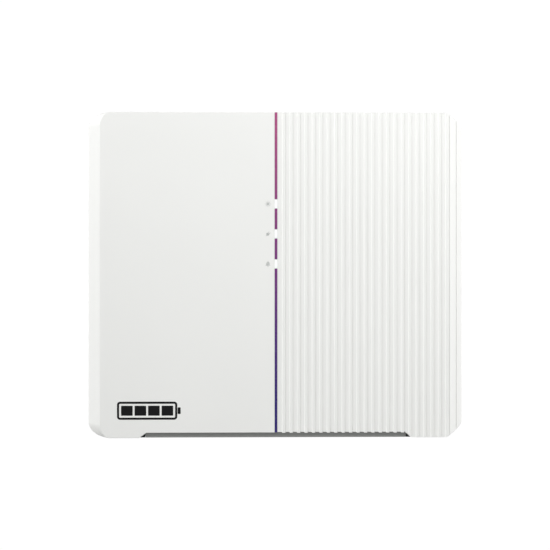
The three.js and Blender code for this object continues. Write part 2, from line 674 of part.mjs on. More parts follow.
// Battery management board with two contactors, a row of capacitors and a chip
const BOARD = { x0: 15, x1: 215, back: -30, front: -135, bottom: -149.6, thickness: 1.6 };
const CONTACTOR = { x0: 24, x1: 52, depth: 30, backs: [-40, -80], height: 16 };
const CAPACITOR = { xs: [64, 78, 92, 106], y: -50, radius: 5, height: 14 };
const CHIP = { x0: 66, x1: 96, back: -85, front: -112, height: 3 };
const BOARD_TOP = BOARD.bottom + BOARD.thickness;
const SOLDERED = BOARD_TOP - 0.5;
part('bms_board', join(
  block(BOARD.x0, BOARD.x1, BOARD.back, BOARD.front, BOARD.bottom, BOARD_TOP),
  ...CONTACTOR.backs.map((back) => block(
    CONTACTOR.x0, CONTACTOR.x1, back, back - CONTACTOR.depth, SOLDERED, BOARD_TOP + CONTACTOR.height)),
  ...CAPACITOR.xs.map((x) => post(
    CAPACITOR.radius, x, CAPACITOR.y, SOLDERED, BOARD_TOP + CAPACITOR.height, 14)),
  block(CHIP.x0, CHIP.x1, CHIP.back, CHIP.front, SOLDERED, BOARD_TOP + CHIP.height),
), boardGreen());

const FUSE = { y: -112, z: -140, left: -120, right: -62, radius: 13, blade: 22, bladeHalf: 9 };
const STRAP_HALF = 1.5;
function mainFuse() {
  const barrel = new THREE.CylinderGeometry(FUSE.radius, FUSE.radius, FUSE.right - FUSE.left, 20);
  barrel.rotateZ(Math.PI / 2).translate((FUSE.left + FUSE.right) / 2, FUSE.y, FUSE.z);
  const blade = block(
    FUSE.left - FUSE.blade, FUSE.right + FUSE.blade, FUSE.y - FUSE.bladeHalf, FUSE.y + FUSE.bladeHalf,
    FUSE.z - STRAP_HALF, FUSE.z + STRAP_HALF);
  return join(barrel, blade);
}
part('main_fuse', mainFuse(), material(0xe5e2da, 0.4));

// Copper strap from the fuse up the housing's side to the upper row's end tab
const STRAP_X = -STACK.half - 20;
function positiveStrap() {
  const outside = STRAP_X - STRAP_HALF * 2;
  const back = FUSE.y + FUSE.bladeHalf;
  const front = FUSE.y - FUSE.bladeHalf;
  const tab = ROW_CENTRES[0] - TERMINAL.offset;
  return join(
    block(outside, FUSE.left - FUSE.blade - GAP, front, back, FUSE.z - STRAP_HALF, FUSE.z + STRAP_HALF),
    block(outside, STRAP_X, front, back, FUSE.z - STRAP_HALF, tab),
    block(outside, STRAP_X, FUSE.y, BUSBAR.front, tab - TERMINAL.height, tab + TERMINAL.height / 2),
  );
}
part('positive_strap', positiveStrap(), copper());

// Cables: both leave a socket's stud straight up before they bend
const CABLE_RADIUS = 4.5;
const STUD_TOP = PANEL_TOP + SOCKET.studTop;
part('positive_cable', cable([
  [POSITIVE_X, CONNECTOR_Y, STUD_TOP + GAP],
  [POSITIVE_X, CONNECTOR_Y, STUD_TOP + 6],
  [POSITIVE_X + 14, CONNECTOR_Y, STUD_TOP + 16],
  [BREAKER_X - 25, CONNECTOR_Y, STUD_TOP + 19],
  [BREAKER_X - BREAKER.halfWidth - GAP, CONNECTOR_Y, STUD_TOP + 19],
], CABLE_RADIUS, 14), material(0xd9691e, 0.6));

part('negative_cable', cable([
  [NEGATIVE_X, CONNECTOR_Y, STUD_TOP + GAP],
  [NEGATIVE_X, CONNECTOR_Y, STUD_TOP + 6],
  [NEGATIVE_X - 20, CONNECTOR_Y + 10, STUD_TOP + 17],
  [NEGATIVE_X - 70, CONNECTOR_Y + 20, STUD_TOP + 17],
  [STRAP_X + 2, CONNECTOR_Y + 18, STUD_TOP + 34],
  [STRAP_X - 2, CONNECTOR_Y + 10, STUD_TOP + 60],
  [STRAP_X - 2, CONNECTOR_Y - 12, ROW_CENTRES[1] - TERMINAL.offset],
], CABLE_RADIUS, 26), blackPlastic());

// ---------------------------------------------------------------- wall side

// Rail: a plate on the wall whose top steps out into a lip. Wall bolts go through its slots.
const SLOT_XS = [-150, -60, 60, 150];
function railSlot(x, z) {
  return block(
    x - SLOT.width / 2, x + SLOT.width / 2, 2, -RAIL.thickness - 2, z - SLOT.length / 2, z + SLOT.length / 2);
}

function wallRail() {
  const t = RAIL.thickness;
  const plateBottom = RAIL.middle - RAIL.halfHeight;
  const plateTop = RAIL.middle + RAIL.halfHeight;
  const section = [
    [0, plateBottom], [0, plateTop], [RAIL.lipFront + t, plateTop + 9], [RAIL.lipFront + t, RAIL.lipTop],
    [RAIL.lipFront, RAIL.lipTop], [RAIL.lipFront, plateTop + 7], [-t, plateTop - 2], [-t, plateBottom],
  ];
  const plate = join(prismX(section, -RAIL.halfLength, RAIL.halfLength));
  return cut(plate, ...SLOT_XS.map((x) => railSlot(x, RAIL.middle)));
}
part('wall_rail', wallRail(), zincSteel());

// Hanger on the back of the housing: hooks over the lip
const HANGER = { height: 52, hook: 14, hookFront: -4, shorter: 4 };
function hangerRail() {
  const front = HOUSING.back + GAP;
  const t = RAIL.thickness;
  const top = RAIL.lipTop + GAP + t;
  const hookBack = HANGER.hookFront - t;
  const section = [
    [front, top - HANGER.height], [front, top], [HANGER.hookFront, top],
    [HANGER.hookFront, top - HANGER.hook], [hookBack, top - HANGER.hook], [hookBack, top - t],
    [front + t, top - t], [front + t, top - HANGER.height],
  ];
  const half = RAIL.halfLength - HANGER.shorter;
  return prismX(section, -half, half);
}
part('hanger_rail', hangerRail(), zincSteel());

// Lower brackets: angles on the wall that reach under the housing, each with a lock screw
const BRACKET = { halfWidth: 22, top: -165, slot: -184, reach: -33, thickness: 2.5 };
const LEDGE_TOP = HOUSING_BOTTOM - 0.4;
const LEDGE_BOTTOM = LEDGE_TOP - BRACKET.thickness;
function lowerBracket(x) {
  const section = [
    [0, LEDGE_BOTTOM], [0, BRACKET.top], [-BRACKET.thickness, BRACKET.top], [-BRACKET.thickness, LEDGE_TOP],
    [BRACKET.reach, LEDGE_TOP], [BRACKET.reach, LEDGE_BOTTOM],
  ];
  return cut(
    join(prismX(section, x - BRACKET.halfWidth, x + BRACKET.halfWidth)),
    railSlot(x, BRACKET.slot),
    post(LOCK_SCREW.hole, x, LOCK_SCREW.y, LEDGE_BOTTOM - 1, LEDGE_TOP + 1, 16),
  );
}

function lockScrew(x) {
  const headTop = LEDGE_BOTTOM - GAP;
  const tip = HOUSING_BOTTOM + LOCK_SCREW.reach;
  return join(
    post(LOCK_SCREW.headRadius, x, LOCK_SCREW.y, headTop - LOCK_SCREW.head, headTop, 20),
    post(LOCK_SCREW.radius, x, LOCK_SCREW.y, headTop - 0.5, tip, 14),
  );
}

for (const [side, x] of [['left', -BRACKET_X], ['right', BRACKET_X]]) {
  part(`lower_bracket_${side}`, lowerBracket(x), zincSteel());
  part(`lock_screw_${side}`, lockScrew(x), zincSteel());
}

// ---------------------------------------------------------------- frame

unit.position.z = -RAIL.middle;
const group = new THREE.Group();
group.name = 'wall_battery_unit';
group.add(unit);

export default group;
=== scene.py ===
"""Wall battery unit: the visual model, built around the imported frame. Metres, front faces -Y, Z is up."""

import json
import math
from types import SimpleNamespace

import bmesh
import bpy
from mathutils import Matrix, Vector


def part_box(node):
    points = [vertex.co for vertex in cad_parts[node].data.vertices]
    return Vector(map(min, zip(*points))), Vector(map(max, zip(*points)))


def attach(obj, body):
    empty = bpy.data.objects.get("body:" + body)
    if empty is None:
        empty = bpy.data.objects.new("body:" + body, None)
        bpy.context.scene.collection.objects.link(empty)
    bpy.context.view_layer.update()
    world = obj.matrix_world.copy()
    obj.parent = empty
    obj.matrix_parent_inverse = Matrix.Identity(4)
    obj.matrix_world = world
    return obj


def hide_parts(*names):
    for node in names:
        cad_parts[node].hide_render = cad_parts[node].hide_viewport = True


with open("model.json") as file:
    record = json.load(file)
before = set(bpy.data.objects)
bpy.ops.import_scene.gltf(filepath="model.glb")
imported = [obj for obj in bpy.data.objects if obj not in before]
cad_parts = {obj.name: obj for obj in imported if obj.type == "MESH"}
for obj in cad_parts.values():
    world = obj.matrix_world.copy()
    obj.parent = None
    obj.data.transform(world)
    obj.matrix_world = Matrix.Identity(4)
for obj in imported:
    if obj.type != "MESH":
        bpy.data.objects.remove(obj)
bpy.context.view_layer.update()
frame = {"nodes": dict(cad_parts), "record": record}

MM = 0.001
UNIT = "unit"
SLOTS = {part["node"]: part["material_slot"] for part in frame["record"]["subparts"]}
SHARP = math.radians(32)


def sizes(**millimetres):
    """Sizes given in millimetres, kept in metres."""
    return SimpleNamespace(**{key: value * MM for key, value in millimetres.items()})


def centre(node):
    """Middle of a CAD node's box."""
    low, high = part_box(node)
    return (low + high) / 2


def half_size(node):
    """Half the width, depth and height of a CAD node's box."""
    low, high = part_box(node)
    return (high - low) / 2


# ---------------------------------------------------------------- places, from the frame

LEFT_LOW, LEFT_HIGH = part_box("left_front_panel")
RIGHT_LOW, RIGHT_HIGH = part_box("right_front_panel")
PANEL_LOW, PANEL_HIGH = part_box("connection_panel")
X_LEFT = LEFT_LOW.x
X_RIGHT = RIGHT_HIGH.x
TOP = LEFT_HIGH.z
BOTTOM = LEFT_LOW.z
MIDDLE = (TOP + BOTTOM) / 2
SMOOTH_FACE = LEFT_LOW.y
RIB_FACE = RIGHT_LOW.y
COVER_BACK = LEFT_HIGH.y
SEAM = RIGHT_LOW.x
GAP = 0.3 * MM
ROW_Y = (PANEL_LOW.y + PANEL_HIGH.y) / 2
FLANGE_TOP = PANEL_LOW.z - GAP

# Front cover, with the driving sizes of the CAD panels
WALL = 2.5 * MM
BEVEL_DEPTH = 14 * MM
LEFT_BEVEL = 15.7 * MM
RIGHT_BEVEL = 18.7 * MM
LEFT_CORNER = {"size": (26, 20), "face": (12.3, 18.3), "roundness": 1.8}
RIGHT_CORNER = {"size": (24, 20), "face": (3, 3), "roundness": 1.4}
CORNER_STEPS = 20
EDGE_RADIUS = 0.8 * MM
SHOULDER = 0.10
RIM = 0.10
CHANNEL_HALF = 1.85 * MM
CHANNEL_BACK = -165.3 * MM
CHANNEL_RIM = 0.2 * MM
FLUTE = sizes(
    first=2.5, pitch=9.93, depth=0.75, floor_end=5.2, width=6.4, crease=0.7, crease_depth=1.2,
    crown=0.05)
FLUTE_COUNT = 23
BEVEL_GROOVES = (232.2 * MM, 242.0 * MM)
BEVEL_GROOVE_WIDTH = 1.0 * MM
BEVEL_GROOVE_DEPTH = 1.3 * MM
NOTCH_TOP_HALF = 173 * MM
NOTCH_MOUTH_HALF = 182 * MM
NOTCH_HEIGHT = 6.6 * MM
NOTCH_RISE = 5 * MM
NOTCH_LEAN_DEPTH = 3 * MM
NOTCH_REACH = 12 * MM
NOTCH_TOP = BOTTOM + NOTCH_HEIGHT
# How far the blocks that split the cover reach past its sides
BEYOND = 5 * MM

# Rear housing and its connection bay
HOUSING_INSET = 6.5 * MM
HOUSING_WALL = 2.5 * MM
HOUSING_EDGE = 3 * MM
LIP_INSET = 3 * MM
LIP_THICKNESS = 4 * MM
LIP_EDGE = 0.6 * MM
LOCK_HOLE = 3 * MM
HOUSING_BOTTOM = BOTTOM + HOUSING_INSET
HOUSING_BEVEL = 0.6 * MM
BAY_HALF_WIDTH = 190 * MM
BAY_BACK = -36 * MM
BAY_FRONT = -126 * MM
BAY_LEDGE = 8 * MM
BAY_CORNER = 4 * MM
BAY_CEILING = PANEL_HIGH.z + GAP


# ---------------------------------------------------------------- meshes

def in_scene(name, data):
    """A new object with its mesh, light or camera, in the scene."""
    obj = bpy.data.objects.new(name, data)
    bpy.context.scene.collection.objects.link(obj)
    return obj


def new_object(name, bm):
    """Turns a bmesh into an object."""
    mesh = bpy.data.meshes.new(name)
    bm.to_mesh(mesh)
    bm.free()
    return in_scene(name, mesh)


def edit_mesh(obj, change):
    """Changes the mesh of obj by change(bmesh)."""
    bm = bmesh.new()
    bm.from_mesh(obj.data)
    change(bm)
    bm.to_mesh(obj.data)
    bm.free()


def skin(bm, rings, closed=False):
    """Adds a skin through rings of points. closed joins the last ring to the first one."""
    made = [[bm.verts.new(p) for p in ring] for ring in rings]
    count = len(rings[0])
    pairs = list(zip(made, made[1:]))
    if closed:
        pairs.append((made[-1], made[0]))
    for lower, upper in pairs:
        for i in range(count):
            j = (i + 1) % count
            bm.faces.new((lower[i], lower[j], upper[j], upper[i]))
    if not closed:
        bm.faces.new(list(reversed(made[0])))
        bm.faces.new(made[-1])


def loft(rings, closed=False):
    """A solid through rings of points."""
    return several([(rings, closed)])


def several(solids):
    """One mesh of separate solids, each given as (rings, closed)."""
    bm = bmesh.new()
    for rings, closed in solids:
        skin(bm, rings, closed)
    bmesh.ops.recalc_face_normals(bm, faces=bm.faces)
    return bm


# How a point of an outline goes into space for a sweep along each axis; outlines are (y, z), (x, z), (x, y)
PLACES = {
    "x": lambda a, b, s: (s, a, b),
    "y": lambda a, b, s: (a, s, b),
    "z": lambda a, b, s: (a, b, s),
}


def slab(outline, axis, start, end):
    """The two end rings of a prism across axis."""
    place = PLACES[axis]
    return [[place(a, b, s) for a, b in outline] for s in (start, end)]


def band(outer, inner, axis, start, end):
    """Rings of a flat frame between two outlines of as many points, to be joined with closed."""
    place = PLACES[axis]
    return [
        [place(a, b, s) for a, b in outline]
        for outline, s in ((outer, start), (outer, end), (inner, end), (inner, start))
    ]


def prism(outline, axis, start, end):
    """An outline as a straight solid along axis."""
    return loft(slab(outline, axis, start, end))


def rectangle(x0, x1, y0, y1):
    return [(x0, y0), (x1, y0), (x1, y1), (x0, y1)]


def block(x0, x1, y0, y1, z0, z1):
    """A box between two corners."""
    return prism(rectangle(x0, x1, z0, z1), "y", y0, y1)


def circle(x, y, radius, steps=48, start=0.0, sweep=360.0):
    """Points around a circle, or along an arc of it."""
    last = steps if sweep == 360.0 else steps - 1
    return [
        (x + radius * math.cos(math.radians(start + sweep * i / last)),
         y + radius * math.sin(math.radians(start + sweep * i / last)))
        for i in range(steps)
    ]


def round_box(x, y, half_x, half_y, radius, inset=0.0, steps=6):
    """A rectangle around (x, y) with round corners, moved inwards by inset."""
    points = []
    corner = max(radius - inset, 0.02 * MM)
    for sign_x, sign_y, start in ((1, 1, 0), (-1, 1, 90), (-1, -1, 180), (1, -1, 270)):
        centre_x = x + sign_x * (half_x - inset - corner)
        centre_y = y + sign_y * (half_y - inset - corner)
        for step in range(steps + 1):
            angle = math.radians(start + 90 * step / steps)
            points.append((centre_x + corner * math.cos(angle), centre_y + corner * math.sin(angle)))
    return points


def tablet(outline, axis, start, end, start_edge, end_edge, steps=4):
    """Rings of outline(inset) swept along axis, with both of its end edges rounded over."""
    place = PLACES[axis]
    direction = 1 if end > start else -1
    rings = []
    for edge, origin, inwards, order in (
        (start_edge, start, direction, range(steps + 1)),
        (end_edge, end, -direction, range(steps, -1, -1)),
    ):
        for step in order:
            angle = math.pi / 2 * step / steps
            along = origin + inwards * edge * (1 - math.cos(angle))
            inset = edge * (1 - math.sin(angle))
            rings.append([place(a, b, along) for a, b in outline(inset)])
    return rings


def turned(profile, x, y, z, steps=48):
    """Rings of a solid of revolution about the upright axis through (x, y): profile of (radius, height)."""
    return [[(a, b, z + height) for a, b in circle(x, y, radius, steps)] for radius, height in profile]


def quarter(radius, height, edge):
    """A turned profile's rounded lower edge: from (radius, height), edge inwards and edge down."""
    angles = [math.pi / 8 * step for step in range(1, 5)]
    return [(radius - edge * (1 - math.cos(a)), height - edge * math.sin(a)) for a in angles]


def spin(name, profile, x, y, z, steps=48, closed=False):
    """A turned solid as an object."""
    return new_object(name, loft(turned(profile, x, y, z, steps), closed))


def pillow(x, y, half_x, half_y, radius, ends, edges):
    """An upright block between two heights, with round corners and both end edges rounded over."""
    return loft(tablet(lambda inset: round_box(x, y, half_x, half_y, radius, inset), "z", *ends, *edges))


def fillet(before, corner, after):
    """Points that round a corner over; corners are (a, b, radius)."""
    middle = Vector(corner[:2])
    inwards = (Vector(before[:2]) - middle).normalized() * corner[2]
    outwards = (Vector(after[:2]) - middle).normalized() * corner[2]
    return [tuple(middle + inwards * (1 - t) ** 2 + outwards * t ** 2) for t in (0.0, 0.25, 0.5, 0.75, 1.0)]


def rounded_section(corners):
    """A closed section through corners of (a, b, radius)."""
    points = []
    for index, corner in enumerate(corners):
        if corner[2]:
            points += fillet(corners[index - 1], corner, corners[(index + 1) % len(corners)])
        else:
            points.append(corner[:2])
    return points


def boolean(obj, cutter, operation="DIFFERENCE"):
    """Joins, cuts or clips obj with cutter, which is used up."""
    modifier = obj.modifiers.new("boolean", "BOOLEAN")
    modifier.solver = "EXACT"
    modifier.operation = operation
    modifier.object = cutter
    graph = bpy.context.evaluated_depsgraph_get()
    mesh = bpy.data.meshes.new_from_object(obj.evaluated_get(graph))
    obj.modifiers.clear()
    old = obj.data
    obj.data = mesh
    bpy.data.meshes.remove(old)
    bpy.data.objects.remove(cutter)
    return obj


def cut(obj, bm):
    """Cuts the solid in bm out of obj."""
    return boolean(obj, new_object("cutter", bm))


def drill(obj, outline, start, end):
    """Cuts an upright hole through obj between two heights."""
    return cut(obj, prism(outline, "z", start, end))


def join(obj, bm):
    """Joins the solid in bm to obj."""
    return boolean(obj, new_object("addition", bm), "UNION")


def is_sharp(edge):
    """True for an edge between two faces that turn by more than the limit."""
    return len(edge.link_faces) == 2 and edge.calc_face_angle(0) > SHARP


def round_edges(obj, width, segments=3, wanted=is_sharp):
    """Rounds the edges for which wanted(edge) is true."""
    def change(bm):
        bmesh.ops.dissolve_limit(bm, angle_limit=math.radians(0.5), verts=bm.verts, edges=bm.edges)
        edges = [e for e in bm.edges if wanted(e)]
        bmesh.ops.bevel(bm, geom=edges, offset=width, segments=segments, profile=0.5,
                        affect="EDGES", clamp_overlap=True)

    edit_mesh(obj, change)


def smooth(obj):
    """Smooth shading that keeps real corners sharp and flat faces flat."""
    def change(bm):
        for face in bm.faces:
            face.smooth = True
        for edge in bm.edges:
            edge.smooth = not is_sharp(edge)

    edit_mesh(obj, change)
    weighted = obj.modifiers.new("weighted", "WEIGHTED_NORMAL")
    weighted.keep_sharp = True
    return obj


def finish_piece(obj, material, nodes=(), body=UNIT):
    """Gives a piece its material and body, and hides the CAD nodes it stands for."""
    obj.data.materials.clear()
    obj.data.materials.append(material)
    smooth(obj)
    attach(obj, body)
    if nodes:
        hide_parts(*nodes)
    return obj


# ---------------------------------------------------------------- materials

def feed(tree, socket, value):
    """Links a node's input to another node's output, or sets its value."""
    if isinstance(value, bpy.types.NodeSocket):
        tree.links.new(value, socket)
    else:
        socket.default_value = value


def maths(tree, operation, *values):
    """One step of arithmetic on sockets and numbers."""
    node = tree.nodes.new("ShaderNodeMath")
    node.operation = operation
    for value, socket in zip(values, node.inputs):
        feed(tree, socket, value)
    return node.outputs[0]


class Nodes:
    """Short names for the nodes of one material."""

    def __init__(self, name):
        self.material = bpy.data.materials.new(name)
        self.material.use_nodes = True
        self.tree = self.material.node_tree
        self.shader = self.tree.nodes["Principled BSDF"]
        self.place = self.tree.nodes.new("ShaderNodeTexCoord").outputs["Object"]

    def new(self, kind, **inputs):
        """A node with its inputs by name, where _ stands for a space."""
        node = self.tree.nodes.new(kind)
        for key, value in inputs.items():
            feed(self.tree, node.inputs[key.replace("_", " ")], value)
        return node

    def put(self, value, name):
        """Feeds one input of the shader."""
        feed(self.tree, self.shader.inputs[name], value)

    def stretched(self, scale):
        """Object coordinates scaled by (x, y, z)."""
        return self.new("ShaderNodeMapping", Vector=self.place, Scale=scale).outputs["Vector"]

    def noise(self, scale, detail=4.0, vector=None):
        node = self.new("ShaderNodeTexNoise", Vector=vector or self.place, Scale=scale, Detail=detail)
        return node.outputs["Fac"]

    def ramp(self, factor, stops):
        """A colour ramp through (position, colour) stops."""
        node = self.new("ShaderNodeValToRGB", Fac=factor)
        elements = node.color_ramp.elements
        while len(elements) < len(stops):
            elements.new(0.5)
        for element, (position, colour) in zip(elements, stops):
            element.position = position
            element.color = (*colour, 1)
        return node.outputs["Color"]

    def span(self, factor, low, high, from_low=0.3, from_high=0.7):
        """Maps a noise value to a range."""
        limits = {"From_Min": from_low, "From_Max": from_high, "To_Min": low, "To_Max": high}
        return self.new("ShaderNodeMapRange", Value=factor, **limits).outputs["Result"]

    def add(self, a, b, scale=1.0):
        """a + b * scale."""
        return maths(self.tree, "MULTIPLY_ADD", b, scale, a)

    def mix(self, factor, a, b):
        """Colour a where factor is 0, and b where it is 1."""
        node = self.tree.nodes.new("ShaderNodeMix")
        node.data_type = "RGBA"
        for name, value in (("Factor", factor), ("A", a), ("B", b)):
            socket = [s for s in node.inputs if s.name == name and s.enabled][-1]
            feed(self.tree, socket, (*value, 1) if isinstance(value, tuple) else value)
        return [s for s in node.outputs if s.enabled][-1]

    def flute_phase(self):
        """How far across its flute a point of the fluted face is, 0 to 1; 0 outside the flutes."""
        across = self.new("ShaderNodeSeparateXYZ", Vector=self.place).outputs["X"]
        start = FLUTE.first
        end = start + FLUTE.pitch * FLUTE_COUNT
        return maths(self.tree, "FRACT", self.span(across, 0.0, FLUTE_COUNT, start, end))

    def paint(self, factor, stops, low, high):
        """Colour through stops and roughness from low to high, both by one noise."""
        self.put(self.ramp(factor, stops), "Base Color")
        self.put(self.span(factor, low, high), "Roughness")

    def bump(self, height, strength, distance):
        node = self.new("ShaderNodeBump", Height=height, Strength=strength, Distance=distance)
        self.put(node.outputs["Normal"], "Normal")

    def worn(self):
        """0 on flat stretches, 1 on outward edges."""
        geometry = self.tree.nodes.new("ShaderNodeNewGeometry")
        return self.span(geometry.outputs["Pointiness"], 0.0, 1.0, 0.51, 0.6)


def shade(colour, amount):
    """A colour made lighter or darker by a share."""
    return tuple(min(1.0, c * (1 + amount)) for c in colour)


def moulded(name, colour, roughness=0.42, grain=0.06, variation=0.03, coat=0.0, flank_highlight_gain=0.0):
    """Moulded plastic: fine spark-eroded grain, slight tone drift, polished edges, and a painted highlight on
    the rib flanks.
    """
    n = Nodes(name)
    drift = n.noise(7.0, 3.0)
    tone = n.ramp(drift, [(0.3, shade(colour, -variation)), (0.7, shade(colour, variation))])
    tone = n.mix(n.worn(), tone, shade(colour, variation * 2))
    # Painted highlight: the sloping rib flanks get a lighter tone that stands in for light catching them.
    if flank_highlight_gain:
        low = FLUTE.floor_end / FLUTE.pitch
        high = FLUTE.width / FLUTE.pitch
        flank_highlight_mask = n.ramp(n.flute_phase(), [
            (low - 0.01, (0, 0, 0)), (low + 0.02, (1, 1, 1)), (high, (1, 1, 1)), (high + 0.03, (0, 0, 0)),
        ])
        tone = n.mix(flank_highlight_mask, tone, shade(colour, flank_highlight_gain))
    n.put(tone, "Base Color")
    fine = n.noise(2600.0, 2.0)
    n.put(n.add(n.span(drift, roughness - 0.03, roughness + 0.03), fine, 0.03), "Roughness")
    n.put(coat, "Coat Weight")
    n.put(0.3, "Coat Roughness")
    n.bump(n.add(fine, n.noise(420.0, 2.0), 0.6), grain, 0.0001)
    return n.material


def powder_coat(name, colour, roughness=0.55):
    """Fine texture powder coat: orange peel, pale rubbed edges and a trace of dust."""
    n = Nodes(name)
    peel = n.noise(900.0, 3.0)
    blotch = n.noise(9.0, 4.0)
    tone = n.ramp(n.add(blotch, peel, 0.25), [(0.35, shade(colour, -0.12)), (0.85, shade(colour, 0.12))])
    n.put(n.mix(n.worn(), tone, shade(colour, 0.5)), "Base Color")
    n.put(n.add(n.span(blotch, roughness - 0.05, roughness + 0.06), peel, 0.08), "Roughness")
    n.put(0.1, "Metallic")
    n.bump(peel, 0.35, 0.00025)
    return n.material


def worked_metal(name, colour, stretch=(1.0, 1.0, 30.0), roughness=0.36):
    """Plated or bare metal: working grain along one axis, cloudy surface, brighter edges."""
    n = Nodes(name)
    grain = n.noise(300.0, 5.0, n.stretched(stretch))
    cloud = n.noise(45.0, 5.0)
    tone = n.ramp(n.add(cloud, grain, 0.3), [(0.4, shade(colour, -0.18)), (0.9, shade(colour, 0.15))])
    n.put(n.mix(n.worn(), tone, shade(colour, 0.4)), "Base Color")
    n.put(0.95, "Metallic")
    n.put(n.add(n.span(cloud, roughness - 0.07, roughness + 0.07), grain, 0.12), "Roughness")
    n.bump(grain, 0.12, 0.0001)
    return n.material


def rubber(name, colour):
    """Matt seal rubber with a dusty bloom."""
    n = Nodes(name)
    bloom = n.noise(60.0, 5.0)
    n.paint(bloom, [(0.35, colour), (0.8, shade(colour, 0.9))], 0.78, 0.92)
    n.bump(n.noise(1500.0, 2.0), 0.2, 0.0001)
    return n.material


def printed_ink(name, colour, roughness=0.5):
    """Screen-printed ink: slightly uneven cover and a soft screen texture."""
    n = Nodes(name)
    cover = n.noise(220.0, 4.0)
    stops = [(0.3, shade(colour, -0.15)), (0.75, shade(colour, 0.2))]
    n.paint(cover, stops, roughness - 0.06, roughness + 0.08)
    n.put(0.15, "Specular IOR Level")
    n.bump(n.noise(4000.0, 1.0), 0.1, 0.00005)
    return n.material


def circuit_board(name):
    """Green solder mask over faint copper tracks."""
    n = Nodes(name)
    tracks = n.new(
        "ShaderNodeTexBrick", Vector=n.place, Scale=160.0,
        Color1=(0.015, 0.16, 0.06, 1), Color2=(0.02, 0.13, 0.05, 1), Mortar=(0.03, 0.24, 0.09, 1))
    n.put(tracks.outputs["Color"], "Base Color")
    n.put(n.span(n.noise(40.0), 0.3, 0.45), "Roughness")
    n.bump(tracks.outputs["Fac"], 0.2, 0.0001)
    return n.material


def cell_film(name):
    """Blue insulating film over a cell can: soft wrinkles and a satin gloss."""
    n = Nodes(name)
    wrinkle = n.noise(28.0, 5.0, n.stretched((1.0, 1.0, 0.25)))
    n.paint(wrinkle, [(0.3, (0.02, 0.10, 0.30)), (0.75, (0.045, 0.17, 0.44))], 0.25, 0.4)
    n.bump(wrinkle, 0.3, 0.0006)
    return n.material


def light_bar(name):
    """Tinted light guide, lit from behind: magenta at the top, purple, then indigo at the bottom."""
    n = Nodes(name)
    height = n.new("ShaderNodeSeparateXYZ", Vector=n.place).outputs["Z"]
    share = n.span(height, 0.0, 1.0, BOTTOM, TOP)
    colour = n.ramp(share, [
        (0.0, (0.032, 0.022, 0.135)),
        (0.11, (0.034, 0.022, 0.14)),
        (0.3, (0.07, 0.027, 0.155)),
        (0.5, (0.14, 0.032, 0.165)),
        (0.68, (0.205, 0.045, 0.165)),
        (0.96, (0.335, 0.07, 0.185)),
    ])
    n.put(colour, "Base Color")
    n.put(colour, "Emission Color")
    n.put(n.span(n.noise(90.0), 0.09, 0.11), "Emission Strength")
    n.put(n.span(n.noise(300.0), 0.2, 0.3), "Roughness")
    n.bump(n.noise(1200.0, 1.0), 0.05, 0.0001)
    return n.material


def opal_window(name, glow):
    """Opal indicator window with a faint glow."""
    n = Nodes(name)
    milk = n.noise(160.0, 3.0)
    n.paint(milk, [(0.3, (0.88, 0.9, 0.9)), (0.7, (0.95, 0.96, 0.95))], 0.2, 0.28)
    n.put((*glow, 1), "Emission Color")
    n.put(0.12, "Emission Strength")
    n.bump(milk, 0.04, 0.0001)
    return n.material


COVER_COLOUR = (0.803, 0.808, 0.79)
COVER_WHITE = moulded("cover_white_plastic", COVER_COLOUR, 0.40, 0.05, 0.008)
# The fluted half's white plastic, with a painted highlight along each rib flank.
FLUTED_WHITE_HIGHLIGHTED = moulded("fluted_white_plastic_painted_highlight", COVER_COLOUR, 0.40, 0.05, 0.008, flank_highlight_gain=0.11)
HOUSING_GREY = powder_coat("housing_grey_coat", (0.165, 0.172, 0.17))
TRIM_GREY = powder_coat("trim_grey_coat", (0.205, 0.211, 0.205), 0.5)
PANEL_GREY = powder_coat("panel_grey_coat", (0.27, 0.285, 0.28), 0.45)
STEEL = worked_metal("zinc_plated_steel", (0.52, 0.54, 0.56))
ALUMINIUM = worked_metal("brushed_aluminium", (0.66, 0.67, 0.68), (1.0, 1.0, 1.0), 0.3)
BRASS = worked_metal("yellow_brass", (0.62, 0.42, 0.14), (1.0, 1.0, 8.0), 0.3)
GOLD = worked_metal("contact_gold", (0.85, 0.6, 0.22), (1.0, 1.0, 4.0), 0.22)
COPPER = worked_metal("bare_copper", (0.66, 0.3, 0.15), (6.0, 1.0, 1.0), 0.32)
BLACK = moulded("black_plastic", (0.018, 0.018, 0.02), 0.45, 0.12, 0.2)
ORANGE = moulded("orange_plastic", (0.72, 0.16, 0.015), 0.42, 0.1, 0.05)
BREAKER_WHITE = moulded("breaker_plastic", (0.68, 0.69, 0.66), 0.42, 0.1, 0.03)
BUTTON_GREY = moulded("button_plastic", (0.66, 0.68, 0.68), 0.35, 0.06, 0.03)
SEAL = rubber("seal_rubber", (0.02, 0.02, 0.022))
DIFFUSER = moulded("opal_diffuser", (0.82, 0.86, 0.88), 0.22, 0.03, 0.02)
CERAMIC = moulded("fuse_ceramic", (0.74, 0.71, 0.66), 0.25, 0.03, 0.03, 0.4)
BOARD = circuit_board("solder_mask")
FILM = cell_film("cell_film_blue")
BAR = light_bar("light_bar_gradient")
WINDOW = opal_window("opal_window_white", (0.9, 0.95, 1.0))
GREEN_WINDOW = opal_window("opal_window_green", (0.75, 1.0, 0.75))
GREY_INK = printed_ink("grey_ink", (0.50, 0.51, 0.50))
BLACK_INK = printed_ink("black_ink", (0.006, 0.006, 0.007), 0.6)
WHITE_INK = printed_ink("white_ink", (0.75, 0.76, 0.75), 0.45)

